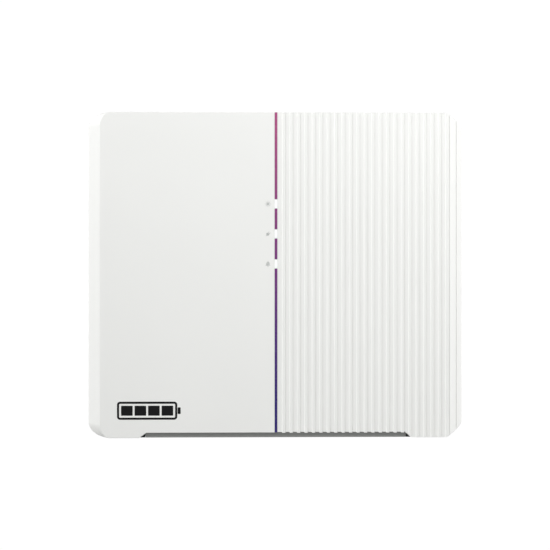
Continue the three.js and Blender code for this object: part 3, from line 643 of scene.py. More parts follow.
LOOKS = {
    "cover_white": COVER_WHITE, "light_magenta": BAR, "light_plum": BAR, "light_purple": BAR,
    "light_indigo": BAR, "window_white": WINDOW, "diffuser": DIFFUSER, "circuit_board": BOARD,
    "housing_grey": HOUSING_GREY, "trim_grey": TRIM_GREY, "panel_grey": PANEL_GREY,
    "seal_rubber": SEAL, "orange_plastic": ORANGE, "black_plastic": BLACK,
    "breaker_white": BREAKER_WHITE, "button_grey": BUTTON_GREY, "aluminium": ALUMINIUM,
    "zinc_steel": STEEL, "brass": BRASS, "copper": COPPER, "cell_wrap": FILM, "fuse_ceramic": CERAMIC,
}
for node_name, node in frame["nodes"].items():
    node.data.materials.clear()
    node.data.materials.append(LOOKS[SLOTS[node_name]])


# ---------------------------------------------------------------- front cover

def corner_arc(corner, share, shrink):
    """A corner of the outline from its side edge to its top edge, as offsets from the square corner."""
    width, height = [
        (side + (face - side) * share) * MM - shrink
        for side, face in zip(corner["size"], corner["face"])
    ]
    power = 2 / corner["roundness"]
    points = []
    for step in range(CORNER_STEPS + 1):
        angle = step / CORNER_STEPS * math.pi / 2
        along = 1 - max(math.cos(angle), 0) ** power
        up = 1 - math.sin(angle) ** power
        points.append((width * along, height * up))
    return points


def cover_outline(share, shrink):
    """Outline of the cover in (x, z): share is 0 at its sides and 1 at its flat face."""
    left = X_LEFT + LEFT_BEVEL * share + shrink
    right = X_RIGHT - RIGHT_BEVEL * share - shrink
    low = BOTTOM + shrink
    high = TOP - shrink
    left_arc = corner_arc(LEFT_CORNER, share, shrink)
    right_arc = corner_arc(RIGHT_CORNER, share, shrink)
    return (
        [(left + dx, low + dz) for dx, dz in left_arc]
        + [(right - dx, low + dz) for dx, dz in reversed(right_arc)]
        + [(right - dx, high - dz) for dx, dz in right_arc]
        + [(left + dx, high - dz) for dx, dz in reversed(left_arc)]
    )


def ring(y, share, shrink):
    """One ring of the cover's skin."""
    return [(x, y, z) for x, z in cover_outline(share, shrink)]


def outer_skin(face):
    """Outside of the cover: skirt, bevel with soft shoulders, and the rounded rim of the face."""
    shoulder = face + BEVEL_DEPTH
    steps = 5
    rings = [ring(COVER_BACK, 0, 0)]
    for step in range(steps + 1):
        # the skirt turns into the bevel along a short parabola
        t = step / steps
        rings.append(ring(shoulder + SHOULDER * BEVEL_DEPTH * (1 - 2 * t), SHOULDER * t * t, 0))
    for step in range(steps + 1):
        # and the bevel turns into the face along another one, while the top and bottom edges round over
        t = step / steps
        share = 1 - RIM * (1 - t) ** 2
        y = face + RIM * BEVEL_DEPTH * (1 - t) ** 2
        angle = t * math.pi / 2
        rings.append(ring(y, share, EDGE_RADIUS * (1 - math.cos(angle))))
    return loft(rings)


def inner_skin():
    """Inside of the cover, which is cut out of the outside."""
    return loft([
        ring(COVER_BACK + 1 * MM, 0, WALL),
        ring(SMOOTH_FACE + BEVEL_DEPTH + WALL / 2, 0, WALL),
        ring(SMOOTH_FACE + WALL, 1, WALL),
    ])


def notch_half(z):
    """Half the width of the notch at height z."""
    return NOTCH_TOP_HALF + (NOTCH_TOP - z) * (NOTCH_MOUTH_HALF - NOTCH_TOP_HALF) / NOTCH_HEIGHT


def notch_opening(widening=0.0):
    """Sloped-ended opening along the bottom edge."""
    below = BOTTOM - 2 * MM
    mouth = notch_half(below) + widening
    top = NOTCH_TOP_HALF + widening
    return [(-mouth, below), (mouth, below), (top, NOTCH_TOP), (-top, NOTCH_TOP)]


def notch_lean():
    """The top edge of the notch leans up behind the face, so the ribs reach lower than the flutes."""
    start = NOTCH_TOP - 0.1 * MM
    end = NOTCH_TOP + NOTCH_RISE
    return prism(
        [(RIB_FACE, start), (RIB_FACE + NOTCH_LEAN_DEPTH, end), (RIB_FACE + NOTCH_REACH, end),
         (RIB_FACE + NOTCH_REACH, start)],
        "x", -NOTCH_TOP_HALF, NOTCH_TOP_HALF)


def notch_chamfers():
    """Wedges that chamfer the face along the sloped ends of the notch."""
    front = notch_opening(1.0 * MM)
    back = notch_opening()
    rings = []
    for depth, outline in ((-1 * MM, front), (0.5 * MM, front), (2 * MM, back)):
        rings.append([(x, RIB_FACE + depth, z) for x, z in outline])
    return loft(rings)


def cut_shared_openings(panel):
    """Hollows the panel and cuts the light channel and the notch, which both panels share."""
    front = RIB_FACE - 2 * MM
    cut(panel, inner_skin())
    cut(panel, block(-CHANNEL_HALF, CHANNEL_HALF, front, CHANNEL_BACK, BOTTOM - 2 * MM, TOP + 2 * MM))
    cut(panel, prism(notch_opening(), "y", front, COVER_BACK + 2 * MM))
    cut(panel, notch_lean())
    cut(panel, notch_chamfers())


def on_channel_rim(edge):
    """Edges of the light channel where they meet the front face."""
    if not is_sharp(edge):
        return False
    return all(
        abs(abs(v.co.x) - CHANNEL_HALF) < 0.02 * MM and v.co.y < SMOOTH_FACE + 0.05 * MM for v in edge.verts
    )


def left_cover():
    """The smooth half of the front cover."""
    panel = new_object("cover_left_smooth", outer_skin(SMOOTH_FACE))
    cut_shared_openings(panel)
    cut(panel, block(LEFT_HIGH.x, X_RIGHT + BEYOND, RIB_FACE - BEYOND, 0, BOTTOM - BEYOND, TOP + BEYOND))
    round_edges(panel, CHANNEL_RIM, 3, on_channel_rim)
    return finish_piece(panel, COVER_WHITE, ["left_front_panel"])


def filleted(corners):
    """An open line through corners of (x, depth, radius)."""
    rounded = [corners[0][:2]]
    for before, corner, after in zip(corners, corners[1:], corners[2:]):
        rounded += fillet(before, corner, after)
    return rounded + [corners[-1][:2]]


def flute_corners():
    """Front of the fluted half as (x, depth behind the rib faces, corner radius)."""
    sharp = 0.12 * MM
    soft = 0.35 * MM
    depth = FLUTE.depth
    crown = FLUTE.crown
    crease = FLUTE.crease
    corners = [(SEAM - 3 * MM, depth, sharp)]
    for index in range(FLUTE_COUNT):
        start = FLUTE.first + FLUTE.pitch * index
        if index:
            corners += [
                (start, crown, sharp),
                (start + crease / 2, FLUTE.crease_depth, sharp / 2),
                (start + crease, depth, sharp),
            ]
        rib = start + FLUTE.width
        rib_width = FLUTE.pitch - FLUTE.width
        corners += [
            (start + FLUTE.floor_end, depth, soft),
            (rib, 0.0, soft),
            (rib + rib_width * 0.5, crown * 0.3, soft),
            (rib + rib_width * 0.8, crown * 0.65, soft),
        ]
    half = BEVEL_GROOVE_WIDTH / 2
    edge = X_RIGHT - RIGHT_BEVEL
    slope = BEVEL_DEPTH / RIGHT_BEVEL
    for x in BEVEL_GROOVES:
        for at, extra in ((x - half, 0.0), (x, BEVEL_GROOVE_DEPTH), (x + half, 0.0)):
            corners.append((at, max(0.0, at - edge) * slope + extra, sharp))
    last = X_RIGHT + 1 * MM
    corners.append((last, (last - edge) * slope, sharp))
    return corners


def fluted_slab():
    """A slab whose front carries the flutes; it stands a hair in front of the cover's own skin."""
    hair = 0.02 * MM
    front = [(x, RIB_FACE - hair + depth) for x, depth in filleted(flute_corners())]
    back = COVER_BACK + 5 * MM
    outline = [(front[0][0], back)] + front + [(front[-1][0], back)]
    return prism(outline, "z", BOTTOM - 3 * MM, TOP + 3 * MM)


def right_cover():
    """The fluted half of the front cover."""
    panel = new_object("cover_right_fluted", outer_skin(RIB_FACE))
    boolean(panel, new_object("cutter", fluted_slab()), "INTERSECT")
    cut_shared_openings(panel)
    cut(panel, block(X_LEFT - BEYOND, SEAM, RIB_FACE - BEYOND, 0, BOTTOM - BEYOND, TOP + BEYOND))
    return finish_piece(panel, FLUTED_WHITE_HIGHLIGHTED, ["right_front_panel"])


left_cover()
right_cover()


# ---------------------------------------------------------------- light bar

def lens(name, node, material, corner):
    """A light piece with a softly crowned front and rounded corners."""
    low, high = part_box(node)
    half = half_size(node)
    crown = 0.35 * MM
    rings = []
    for inset, drop in ((0.0, high.y - low.y), (0.0, crown), (0.15 * MM, crown * 0.45),
                        (0.4 * MM, crown * 0.12), (0.8 * MM, 0.0)):
        outline = round_box(0, centre(node).z, half.x, half.z, corner, inset, 4)
        rings.append([(x, low.y + drop, z) for x, z in outline])
    return finish_piece(new_object(name, loft(rings)), material, [node])


for number in range(1, 5):
    lens(f"light_bar_{number}", f"light_strip_{number}", BAR, 0.25 * MM)
lens("indicator_solar", "solar_window", WINDOW, 0.6 * MM)
lens("indicator_grid", "grid_window", WINDOW, 0.6 * MM)
lens("indicator_alarm", "alarm_window", GREEN_WINDOW, 0.6 * MM)


# ---------------------------------------------------------------- printed marks on the smooth half

ICON_X = -10.7 * MM
ICON_SCALE = 1.3 * MM
INK_SUNK = 0.05 * MM
INK_PROUD = 0.12 * MM
INK_BACK = SMOOTH_FACE + INK_SUNK
INK_FRONT = SMOOTH_FACE - INK_PROUD


def mark(name, solids, material, body=UNIT):
    """Printed marks: solids are (rings, closed) pairs."""
    return finish_piece(new_object(name, several(solids)), material, (), body)


def on_face(outline):
    """An outline printed on the smooth face."""
    return (slab(outline, "y", INK_BACK, INK_FRONT), False)


def printed_under(outline, z, proud=INK_PROUD):
    """An outline printed on a face that looks down at height z."""
    return (slab(outline, "z", z + INK_SUNK, z - proud), False)


def turned_outline(points, x, z, angle, scale):
    """Points around (0, 0) scaled, turned by an angle in degrees and moved to (x, z)."""
    cosine = math.cos(math.radians(angle)) * scale
    sine = math.sin(math.radians(angle)) * scale
    return [(x + a * cosine - b * sine, z + a * sine + b * cosine) for a, b in points]


def icon(name, window, shapes):
    """An icon beside its window; shapes are (outline in millimetres, angle)."""
    z = centre(window).z
    outlines = [turned_outline(shape, ICON_X, z, angle, ICON_SCALE) for shape, angle in shapes]
    mark(name, [on_face(outline) for outline in outlines], GREY_INK)


def solar_icon():
    """A sun: a disc and eight short rays."""
    ray = rectangle(2.05, 3.1, -0.26, 0.26)
    rays = [(ray, index * 45) for index in range(8)]
    icon("icon_solar", "solar_window", [(circle(0, 0, 1.6, 32), 0), *rays])


def grid_icon():
    """A mains plug, lying diagonally: body, two pins and the start of its lead."""
    body = round_box(0, -0.3, 1.5, 1.25, 0.9)
    pins = [rectangle(x - 0.27, x + 0.27, 0.9, 2.6) for x in (-0.75, 0.75)]
    lead = rectangle(-0.25, 0.25, -3.0, -1.4)
    icon("icon_grid", "grid_window", [(shape, -45) for shape in (body, *pins, lead)])


def alarm_icon():
    """A bell with its clapper."""
    dome = circle(0, 0.5, 1.7, 17, 0, 180)
    skirt = [(-1.9, -0.9), (-2.6, -1.6), (2.6, -1.6), (1.9, -0.9)]
    clapper = circle(0, -2.15, 0.6, 20)
    knob = circle(0, 2.45, 0.42, 16)
    icon("icon_alarm", "alarm_window", [(shape, 0) for shape in (dome + skirt, clapper, knob)])


def battery_symbol():
    """A plain battery pictogram: case, terminal and four charge blocks."""
    symbol_x = -171.5 * MM
    symbol_z = MIDDLE - 180.5 * MM
    half_length = 40 * MM
    half_height = 12 * MM
    stroke = 2.8 * MM
    cap = 4 * MM
    cap_gap = 0.5 * MM
    cap_half_height = 4.5 * MM
    blocks = 4
    block_gap = 2.6 * MM
    outer = round_box(symbol_x, symbol_z, half_length, half_height, 4 * MM)
    inner = round_box(symbol_x, symbol_z, half_length, half_height, 4 * MM, stroke)
    solids = [(band(outer, inner, "y", INK_BACK, INK_FRONT), True)]
    end = symbol_x + half_length
    cap_x = end + cap_gap + cap / 2
    solids.append(on_face(round_box(cap_x, symbol_z, cap / 2, cap_half_height, 1.2 * MM)))
    left = symbol_x - half_length + stroke + block_gap
    pitch = (2 * (half_length - stroke) - block_gap) / blocks
    half_block = (pitch - block_gap) / 2
    for index in range(blocks):
        middle = left + pitch * index + half_block
        height = half_height - stroke - block_gap
        solids.append(on_face(round_box(middle, symbol_z, half_block, height, 0.8 * MM)))
    mark("battery_symbol", solids, BLACK_INK)


solar_icon()
grid_icon()
alarm_icon()
battery_symbol()


# ---------------------------------------------------------------- rear housing

def bay_outline(widening, corner):
    """Outline of the connection bay, made wider all round."""
    middle = (BAY_BACK + BAY_FRONT) / 2
    half = (BAY_BACK - BAY_FRONT) / 2
    return round_box(0, middle, BAY_HALF_WIDTH + widening, half + widening, corner)


def on_housing_bottom(edge):
    """Edges of the housing's bottom face, from the bay's back wall to the front."""
    return is_sharp(edge) and all(
        abs(v.co.z - HOUSING_BOTTOM) < 0.05 * MM and v.co.y < BAY_BACK + 1 * MM for v in edge.verts)


def rear_housing():
    """Coated housing: rounded rear edges, a lip for the gasket, and the connection bay in its underside."""
    low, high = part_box("rear_housing")
    back = high.y
    front = low.y
    steps = 5
    rings = []
    for step in range(steps + 1):
        angle = math.pi / 2 * step / steps
        inset = HOUSING_INSET + HOUSING_EDGE * (1 - math.sin(angle))
        rings.append(ring(back - HOUSING_EDGE * (1 - math.cos(angle)), 0, inset))
    lip_back = front + LIP_THICKNESS
    rings += [ring(lip_back, 0, HOUSING_INSET), ring(lip_back, 0, LIP_INSET + LIP_EDGE)]
    rings += [ring(lip_back - LIP_EDGE, 0, LIP_INSET), ring(front, 0, LIP_INSET)]
    shell = new_object("rear_housing_coated", loft(rings))
    inner = HOUSING_INSET + HOUSING_WALL
    cut(shell, loft([ring(back - HOUSING_WALL, 0, inner), ring(front - 1 * MM, 0, inner)]))
    outer = bay_outline(HOUSING_WALL, BAY_CORNER + HOUSING_WALL)
    join(shell, prism(outer, "z", HOUSING_BOTTOM + 1 * MM, BAY_CEILING + HOUSING_WALL))
    drill(shell, bay_outline(0.0, BAY_CORNER), HOUSING_BOTTOM - 5 * MM, BAY_CEILING)
    drill(shell, bay_outline(-BAY_LEDGE, BAY_CORNER), BAY_CEILING - 4 * MM, BAY_CEILING + 4 * MM)
    for side in ("left", "right"):
        screw = centre(f"lock_screw_{side}")
        hole = circle(screw.x, screw.y, LOCK_HOLE, 32)
        drill(shell, hole, HOUSING_BOTTOM - 2 * MM, HOUSING_BOTTOM + 4 * MM)
    round_edges(shell, HOUSING_BEVEL, 2, on_housing_bottom)
    return finish_piece(shell, HOUSING_GREY, ["rear_housing"])


def bottom_frame():
    """Folded angle with a soft bend, which closes the bottom of the cover."""
    low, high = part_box("bottom_frame")
    shelf = low.z + 2.2 * MM
    leg_back = low.y + 3 * MM
    section = rounded_section([
        (high.y, low.z, 0.3 * MM), (high.y, shelf, 0.3 * MM), (leg_back, shelf, 0.6 * MM),
        (leg_back, high.z, 0.3 * MM), (low.y, high.z, 0.3 * MM), (low.y, low.z, 2.0 * MM),
    ])
    angle = new_object("bottom_frame_folded", prism(section, "x", low.x, high.x))
    return finish_piece(angle, TRIM_GREY, ["bottom_frame"])


def bottom_seal():
    """The CAD node's own shape, with its flat faces merged and its edges rounded."""
    strip = in_scene("bottom_seal_strip", frame["nodes"]["bottom_seal"].data.copy())
    edit_mesh(strip, lambda bm: bmesh.ops.remove_doubles(bm, verts=bm.verts, dist=0.001 * MM))
    round_edges(strip, 0.3 * MM, 2)
    finish_piece(strip, SEAL, ["bottom_seal"])


rear_housing()
bottom_frame()
bottom_seal()


# ---------------------------------------------------------------- connection panel

PANEL_EDGE = 0.35 * MM
ROUND_HOLES = {
    "positive_socket": 9.4 * MM, "negative_socket": 9.4 * MM, "power_button_bezel": 9.9 * MM,
    "ground_stud": 3.4 * MM, "vent_valve": 6.4 * MM,
}
BREAKER_HOLE = sizes(half_x=18, half_y=23.4)
PORT_HOLE = sizes(half_x=8.4, half_y=7.2)
PANEL_SCREW_INSET = 4.2 * MM
SCREW_HEAD = sizes(radius=2.9, height=1.7, edge=0.8, hex=1.3, hex_depth=1.1)


def hexagon(x, y, radius, inset=0.0):
    """A hexagon by the radius of its corners, moved inwards by inset."""
    return circle(x, y, radius - inset, 6)


def pan_heads(name, places, material, z, size=SCREW_HEAD):
    """Pan-head screws that hang from z at (x, y) places, each with a hexagon socket."""
    radius = size.radius
    rim = size.edge - size.height
    profile = [(radius, 0), (radius, rim)] + quarter(radius, rim, size.edge)
    screws = new_object(name, several([(turned(profile, x, y, z, 32), False) for x, y in places]))
    low = z - size.height
    sockets = [
        (slab(hexagon(x, y, size.hex), "z", low - 1 * MM, low + size.hex_depth), False) for x, y in places
    ]
    cut(screws, several(sockets))
    return finish_piece(screws, material, (), UNIT)


def connection_panel():
    """Coated sheet with rounded corners, a soft edge and an opening for each connector."""
    half = half_size("connection_panel")
    ends = (PANEL_LOW.z, PANEL_HIGH.z)
    sheet = pillow(0, ROW_Y, half.x, half.y, 3.5 * MM, ends, (PANEL_EDGE, PANEL_EDGE))
    panel = new_object("connection_panel_coated", sheet)
    openings = [circle(centre(node).x, ROW_Y, radius, 48) for node, radius in ROUND_HOLES.items()]
    windows = {"breaker_body": BREAKER_HOLE} | {f"comm_port_{index}": PORT_HOLE for index in (1, 2, 3)}
    for node, hole in windows.items():
        openings.append(round_box(centre(node).x, ROW_Y, hole.half_x, hole.half_y, 0.8 * MM))
    for opening in openings:
        drill(panel, opening, PANEL_LOW.z - 3 * MM, PANEL_HIGH.z + 3 * MM)
    finish_piece(panel, PANEL_GREY, ["connection_panel"])
    far_x = half.x - PANEL_SCREW_INSET
    far_y = half.y - PANEL_SCREW_INSET
    ys = (ROW_Y - far_y, ROW_Y + far_y)
    places = [(x, y) for x in (-far_x, -far_x / 3, far_x / 3, far_x) for y in ys]
    pan_heads("panel_screws", places, STEEL, PANEL_LOW.z)


def bar(x, y, half_x, half_y):
    """A rectangle around (x, y)."""
    return rectangle(x - half_x, x + half_x, y - half_y, y + half_y)


def power_arc(x, y, radius, stroke):
    """The open ring of a power symbol, with its gap towards +Y."""
    gap = 35
    outer = circle(x, y, radius, 33, 90 + gap, 360 - 2 * gap)
    inner = circle(x, y, radius - stroke, 33, 90 + gap, 360 - 2 * gap)
    return outer + inner[::-1]


def panel_marks():
    """Plus, minus, earth, and power marks beside the connectors, towards the wall."""
    y = ROW_Y + 26 * MM
    thick = 0.7 * MM
    long = 4 * MM
    plus, minus, earth, power = [
        centre(node).x for node in ("positive_socket", "negative_socket", "ground_stud", "power_button_bezel")
    ]
    cross = [
        (-thick, -long), (thick, -long), (thick, -thick), (long, -thick), (long, thick), (thick, thick),
        (thick, long), (-thick, long), (-thick, thick), (-long, thick), (-long, -thick), (-thick, -thick),
    ]
    outlines = [[(plus + a, y + b) for a, b in cross], bar(minus, y, long, thick)]
    outlines.append(bar(earth, y + 2.5 * MM, 0.5 * MM, 2.4 * MM))
    for index, half in enumerate((long, 2.6 * MM, 1.2 * MM)):
        outlines.append(bar(earth, y - index * 1.9 * MM, half, 0.45 * MM))
    outlines += [bar(power, y + 2.4 * MM, 0.5 * MM, 2.0 * MM), power_arc(power, y, 3.6 * MM, 0.9 * MM)]
    solids = [printed_under(outline, PANEL_LOW.z) for outline in outlines]
    mark("panel_marks", solids, WHITE_INK)


connection_panel()
panel_marks()

# ---------------------------------------------------------------- power sockets

SOCKET = sizes(
    flange_half=19, flange=3, shroud=13, bore=9.6, length=23, bore_top=5, neck=9, neck_top=14, stud=4.5,
    stud_top=19, contact=4, contact_reach=11, screw_inset=4.2, key_inset=0.4, key_half=1.3, key_depth=5,
    ring_top=7, ring_low=10, ring_depth=0.7, ring_slant=0.4)


def power_socket(name, node, material):
    """Square flange, round shroud with a coding ring and keys, and a recessed pin."""
    x = centre(node).x
    y = ROW_Y
    s = SOCKET
    edge = 0.8 * MM
    mouth = -s.length
    ring_floor = s.shroud - s.ring_depth
    profile = [
        (s.neck, 0), (s.shroud, -1 * MM), (s.shroud, -s.ring_top), (ring_floor, -s.ring_top - s.ring_slant),
        (ring_floor, s.ring_slant - s.ring_low), (s.shroud, -s.ring_low), (s.shroud, mouth + edge),
        (s.shroud - edge * 0.3, mouth + edge * 0.3), (s.shroud - edge, mouth),
        (s.bore + edge, mouth), (s.bore, mouth + edge), (s.bore, -s.bore_top),
        (0.5 * MM, -s.bore_top), (0.5 * MM, 0),
    ]
    body = spin(name, profile, x, y, FLANGE_TOP, 64, True)
    ends = (FLANGE_TOP, FLANGE_TOP - s.flange)
    join(body, pillow(x, y, s.flange_half, s.flange_half, 4 * MM, ends, (0.3 * MM, 1.0 * MM)))
    top = PANEL_HIGH.z - FLANGE_TOP
    neck_top = top + s.neck_top
    stud_top = top + s.stud_top
    neck = [
        (s.neck, -1.5 * MM), (s.neck, neck_top - 0.6 * MM), (s.neck - 0.6 * MM, neck_top), (s.stud, neck_top),
        (s.stud, stud_top - 0.5 * MM), (s.stud - 0.5 * MM, stud_top),
    ]
    join(body, loft(turned(neck, x, y, FLANGE_TOP, 48)))
    for a, b in circle(x, y, s.shroud - s.key_inset, 3, 90):
        slot = round_box(a, b, s.key_half, s.key_half, 0.6 * MM)
        drill(body, slot, FLANGE_TOP + mouth - 1 * MM, FLANGE_TOP + mouth + s.key_depth)
    finish_piece(body, material, [node])
    tip = -s.contact_reach
    pin = [(s.contact, -s.bore_top + 0.5 * MM), (s.contact, tip + 1.5 * MM),
           (s.contact - 0.4 * MM, tip + 0.6 * MM), (s.contact - 1.3 * MM, tip)]
    contact = spin(f"{name}_pin", pin, x, y, FLANGE_TOP, 40)
    finish_piece(contact, BRASS, (), UNIT)
    reach = s.flange_half - s.screw_inset
    places = [(x + a * reach, y + b * reach) for a in (-1, 1) for b in (-1, 1)]
    pan_heads(f"{name}_screws", places, STEEL, FLANGE_TOP - s.flange)


power_socket("socket_positive", "positive_socket", ORANGE)
power_socket("socket_negative", "negative_socket", BLACK)

# ---------------------------------------------------------------- breaker

LEVER = sizes(barrel=7, paddle=20, root=3, tip=2, rib_pitch=2.3, rib=0.45)
LEVER_LEAN = 38
LEVER_RIBS = 5
NOSE_HALF_Y = 23 * MM
SLOT_HALF = 14 * MM
SLOT_DEPTH = 17 * MM
POLE_MARK = sizes(half_width=0.4, half_length=1.8, outer=1.9, inner=1.2, proud=0.1)


def breaker_body():
    """Two-pole body: a nose with softened edges and a lever slot, and the case behind the panel."""
    low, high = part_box("breaker_body")
    x, y, _ = centre("breaker_body")
    half = half_size("breaker_body")
    nose_top = PANEL_HIGH.z + 5 * MM
    nose = pillow(x, y, half.x, NOSE_HALF_Y, 1.2 * MM, (nose_top, low.z), (0.1 * MM, 0.9 * MM))
    body = new_object("breaker_case", nose)
    case = pillow(x, y, half.x, half.y, 1.2 * MM, (nose_top - 0.5 * MM, high.z), (0.6 * MM, 0.6 * MM))
    join(body, case)
    slot = round_box(x, y, SLOT_HALF, SLOT_HALF, 0.8 * MM)
    drill(body, slot, low.z - 1 * MM, low.z + SLOT_DEPTH)
    wide = round_box(x, y, SLOT_HALF + 0.8 * MM, SLOT_HALF + 0.8 * MM, 1.2 * MM)
    chamfer = [
        [(a, b, low.z - 0.1 * MM) for a, b in wide],
        [(a, b, low.z + 0.7 * MM) for a, b in slot],
    ]
    cut(body, loft(chamfer))
    land = (SLOT_HALF + NOSE_HALF_Y) / 2
    for groove_y in (y - land, y + land):
        groove = bar(x, groove_y, 0.3 * MM, (NOSE_HALF_Y - SLOT_HALF) / 2 + 2 * MM)
        drill(body, groove, low.z - 1 * MM, low.z + 0.5 * MM)
    finish_piece(body, BREAKER_WHITE, ["breaker_body"])
    m = POLE_MARK
    solids = []
    for pole in (x - half.x / 2, x + half.x / 2):
        solids.append(printed_under(bar(pole, y + land, m.half_width, m.half_length), low.z, m.proud))
        outer = circle(pole, y - land, m.outer, 32)
        inner = circle(pole, y - land, m.inner, 32)
        solids.append((band(outer, inner, "z", low.z + INK_SUNK, low.z - m.proud), True))
    mark("breaker_marks", solids, BLACK_INK)


def breaker_lever():
    """Barrel and a ribbed paddle with rounded edges, leaning back in the on position."""
    low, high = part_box("breaker_lever")
    y = ROW_Y
    z = high.z - LEVER.barrel
    lever = new_object("lever_ribbed", loft(tablet(
        lambda inset: circle(y, z, LEVER.barrel - inset, 56), "x", low.x, high.x, 0.5 * MM, 0.5 * MM)))
    root = LEVER.root
    tip = LEVER.tip
    length = LEVER.paddle

    def blade(inset):
        return rounded_section([
            (-root + inset, 0, 0), (root - inset, 0, 0),
            (tip - inset, -length + inset, 1.2 * MM), (-tip + inset, -length + inset, 1.2 * MM),
        ])

    paddle = several([(tablet(blade, "x", low.x, high.x, 0.9 * MM, 0.9 * MM), False)])
    lean = Matrix.Rotation(math.radians(LEVER_LEAN), 4, "X")
    place = Matrix.Translation((0, y, z)) @ lean
    bmesh.ops.transform(paddle, matrix=place, verts=paddle.verts)
    join(lever, paddle)
    width = (high.x - low.x) / 2 - 2.2 * MM
    middle = (low.x + high.x) / 2
    for index in range(LEVER_RIBS):
        along = -length + 3.0 * MM + LEVER.rib_pitch * index
        half = root + (tip - root) * -along / length
        section = round_box(0, along, half + LEVER.rib, 0.55 * MM, 0.45 * MM)
        rib = prism(section, "x", middle - width, middle + width)
        bmesh.ops.transform(rib, matrix=place, verts=rib.verts)
        join(lever, rib)
    finish_piece(lever, BLACK, ["breaker_lever"], "breaker_lever")


breaker_body()
breaker_lever()

# ---------------------------------------------------------------- power button

BUTTON = sizes(
    cap=6.6, rim=1.1, cap_edge=0.8, bore=7, sleeve=9.5, flange=13, thickness=3, edge=0.9, mark=0.06)


def power_button():
    """Crowned cap with a printed power symbol, in a turned bezel."""
    low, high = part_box("power_button")
    x = centre("power_button").x
    b = BUTTON
    profile = [(b.cap, high.z - low.z), (b.cap, b.rim)] + quarter(b.cap, b.rim, b.cap_edge)
    profile += [(b.cap * 0.7, 0.12 * MM), (b.cap * 0.4, 0.02 * MM), (0.4 * MM, 0.0)]
    cap = spin("button_cap", profile, x, ROW_Y, low.z)
    finish_piece(cap, BUTTON_GREY, ["power_button"], "power_button")
    symbol = [power_arc(x, ROW_Y, 2.9 * MM, 0.65 * MM), bar(x, ROW_Y + 1.7 * MM, 0.32 * MM, 1.3 * MM)]
    solids = [printed_under(outline, low.z + b.mark, b.mark) for outline in symbol]
    mark("button_mark", solids, GREY_INK, "power_button")
    bottom = -b.thickness
    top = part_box("power_button_bezel")[1].z - FLANGE_TOP
    profile = [
        (b.sleeve, top), (b.sleeve, 0), (b.flange, 0), (b.flange, bottom + b.edge),
        (b.flange - b.edge * 0.3, bottom + b.edge * 0.3), (b.flange - b.edge, bottom),
        (b.bore + 2.2 * MM, bottom), (b.bore + 1.9 * MM, bottom + 0.5 * MM),
        (b.bore + 0.6 * MM, bottom + 0.5 * MM), (b.bore, bottom + 1.1 * MM), (b.bore, top),
    ]
    bezel = spin("button_bezel", profile, x, ROW_Y, FLANGE_TOP, 64, True)
    finish_piece(bezel, ALUMINIUM, ["power_button_bezel"])


power_button()

# ---------------------------------------------------------------- communication ports

PORT = sizes(
    flange=1.6, body_x=8, body_y=6.8, open_x=6, open_y=4.2, open_top=13, latch=3.1, latch_depth=1.6,
    way_pitch=1.27, way_half=0.22)
PORT_WAYS = 8


def comm_port(index):
    """Flanged socket with a latch keyway, and eight sprung contacts."""
    node = f"comm_port_{index}"
    x = centre(node).x
    y = ROW_Y
    p = PORT
    half = half_size(node)
    ends = (FLANGE_TOP, FLANGE_TOP - p.flange)
    flange = pillow(x, y, half.x, half.y, 1.2 * MM, ends, (0.1 * MM, 0.45 * MM))
    port = new_object(f"port_{index}", flange)
    body = round_box(x, y, p.body_x, p.body_y, 0.4 * MM)
    join(port, prism(body, "z", FLANGE_TOP - 1 * MM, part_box(node)[1].z))
    mouth = round_box(x, y, p.open_x, p.open_y, 0.3 * MM)
    drill(port, mouth, FLANGE_TOP - 3 * MM, FLANGE_TOP + p.open_top)
    keyway = bar(x, y - p.open_y - p.latch_depth / 2, p.latch, p.latch_depth / 2 + 0.5 * MM)
    drill(port, keyway, FLANGE_TOP - 3 * MM, FLANGE_TOP + p.open_top * 0.6)
    finish_piece(port, BLACK, [node])
    near = y + p.open_y
    top = p.open_top
    section = [
        (near + depth * MM, FLANGE_TOP + height)
        for depth, height in (
            (0.1, 0.6 * MM), (0.1, top), (-3.0, top - 1 * MM), (-3.0, top - 2 * MM), (-0.3, 1.6 * MM),
            (-0.3, 0.6 * MM))
    ]
    ways = [x + (way - (PORT_WAYS - 1) / 2) * p.way_pitch for way in range(PORT_WAYS)]
    solids = [(slab(section, "x", way - p.way_half, way + p.way_half), False) for way in ways]
    contacts = new_object(f"port_{index}_contacts", several(solids))
    finish_piece(contacts, GOLD, (), UNIT)


for port_index in (1, 2, 3):
    comm_port(port_index)

# ---------------------------------------------------------------- ground stud, nut and vent

GROUND = sizes(stud=3, head=7, chamfer=1.1, slant=0.7, bore=3.3, mouth=3.9)
GRIP = sizes(at=12.3, radius=1.4, low=8.5, high=1.6)
GRIPS = 12


def threaded(radius, start, end, pitch=1.0 * MM, depth=0.35 * MM):
    """Profile of a thread's rings from start to end, along the axis."""
    profile = []
    count = int(abs(end - start) / pitch)
    step = (end - start) / count
    for index in range(count):
        profile += [(radius - depth, start + step * index), (radius, start + step * (index + 0.5))]
    return profile + [(radius - depth, end)]


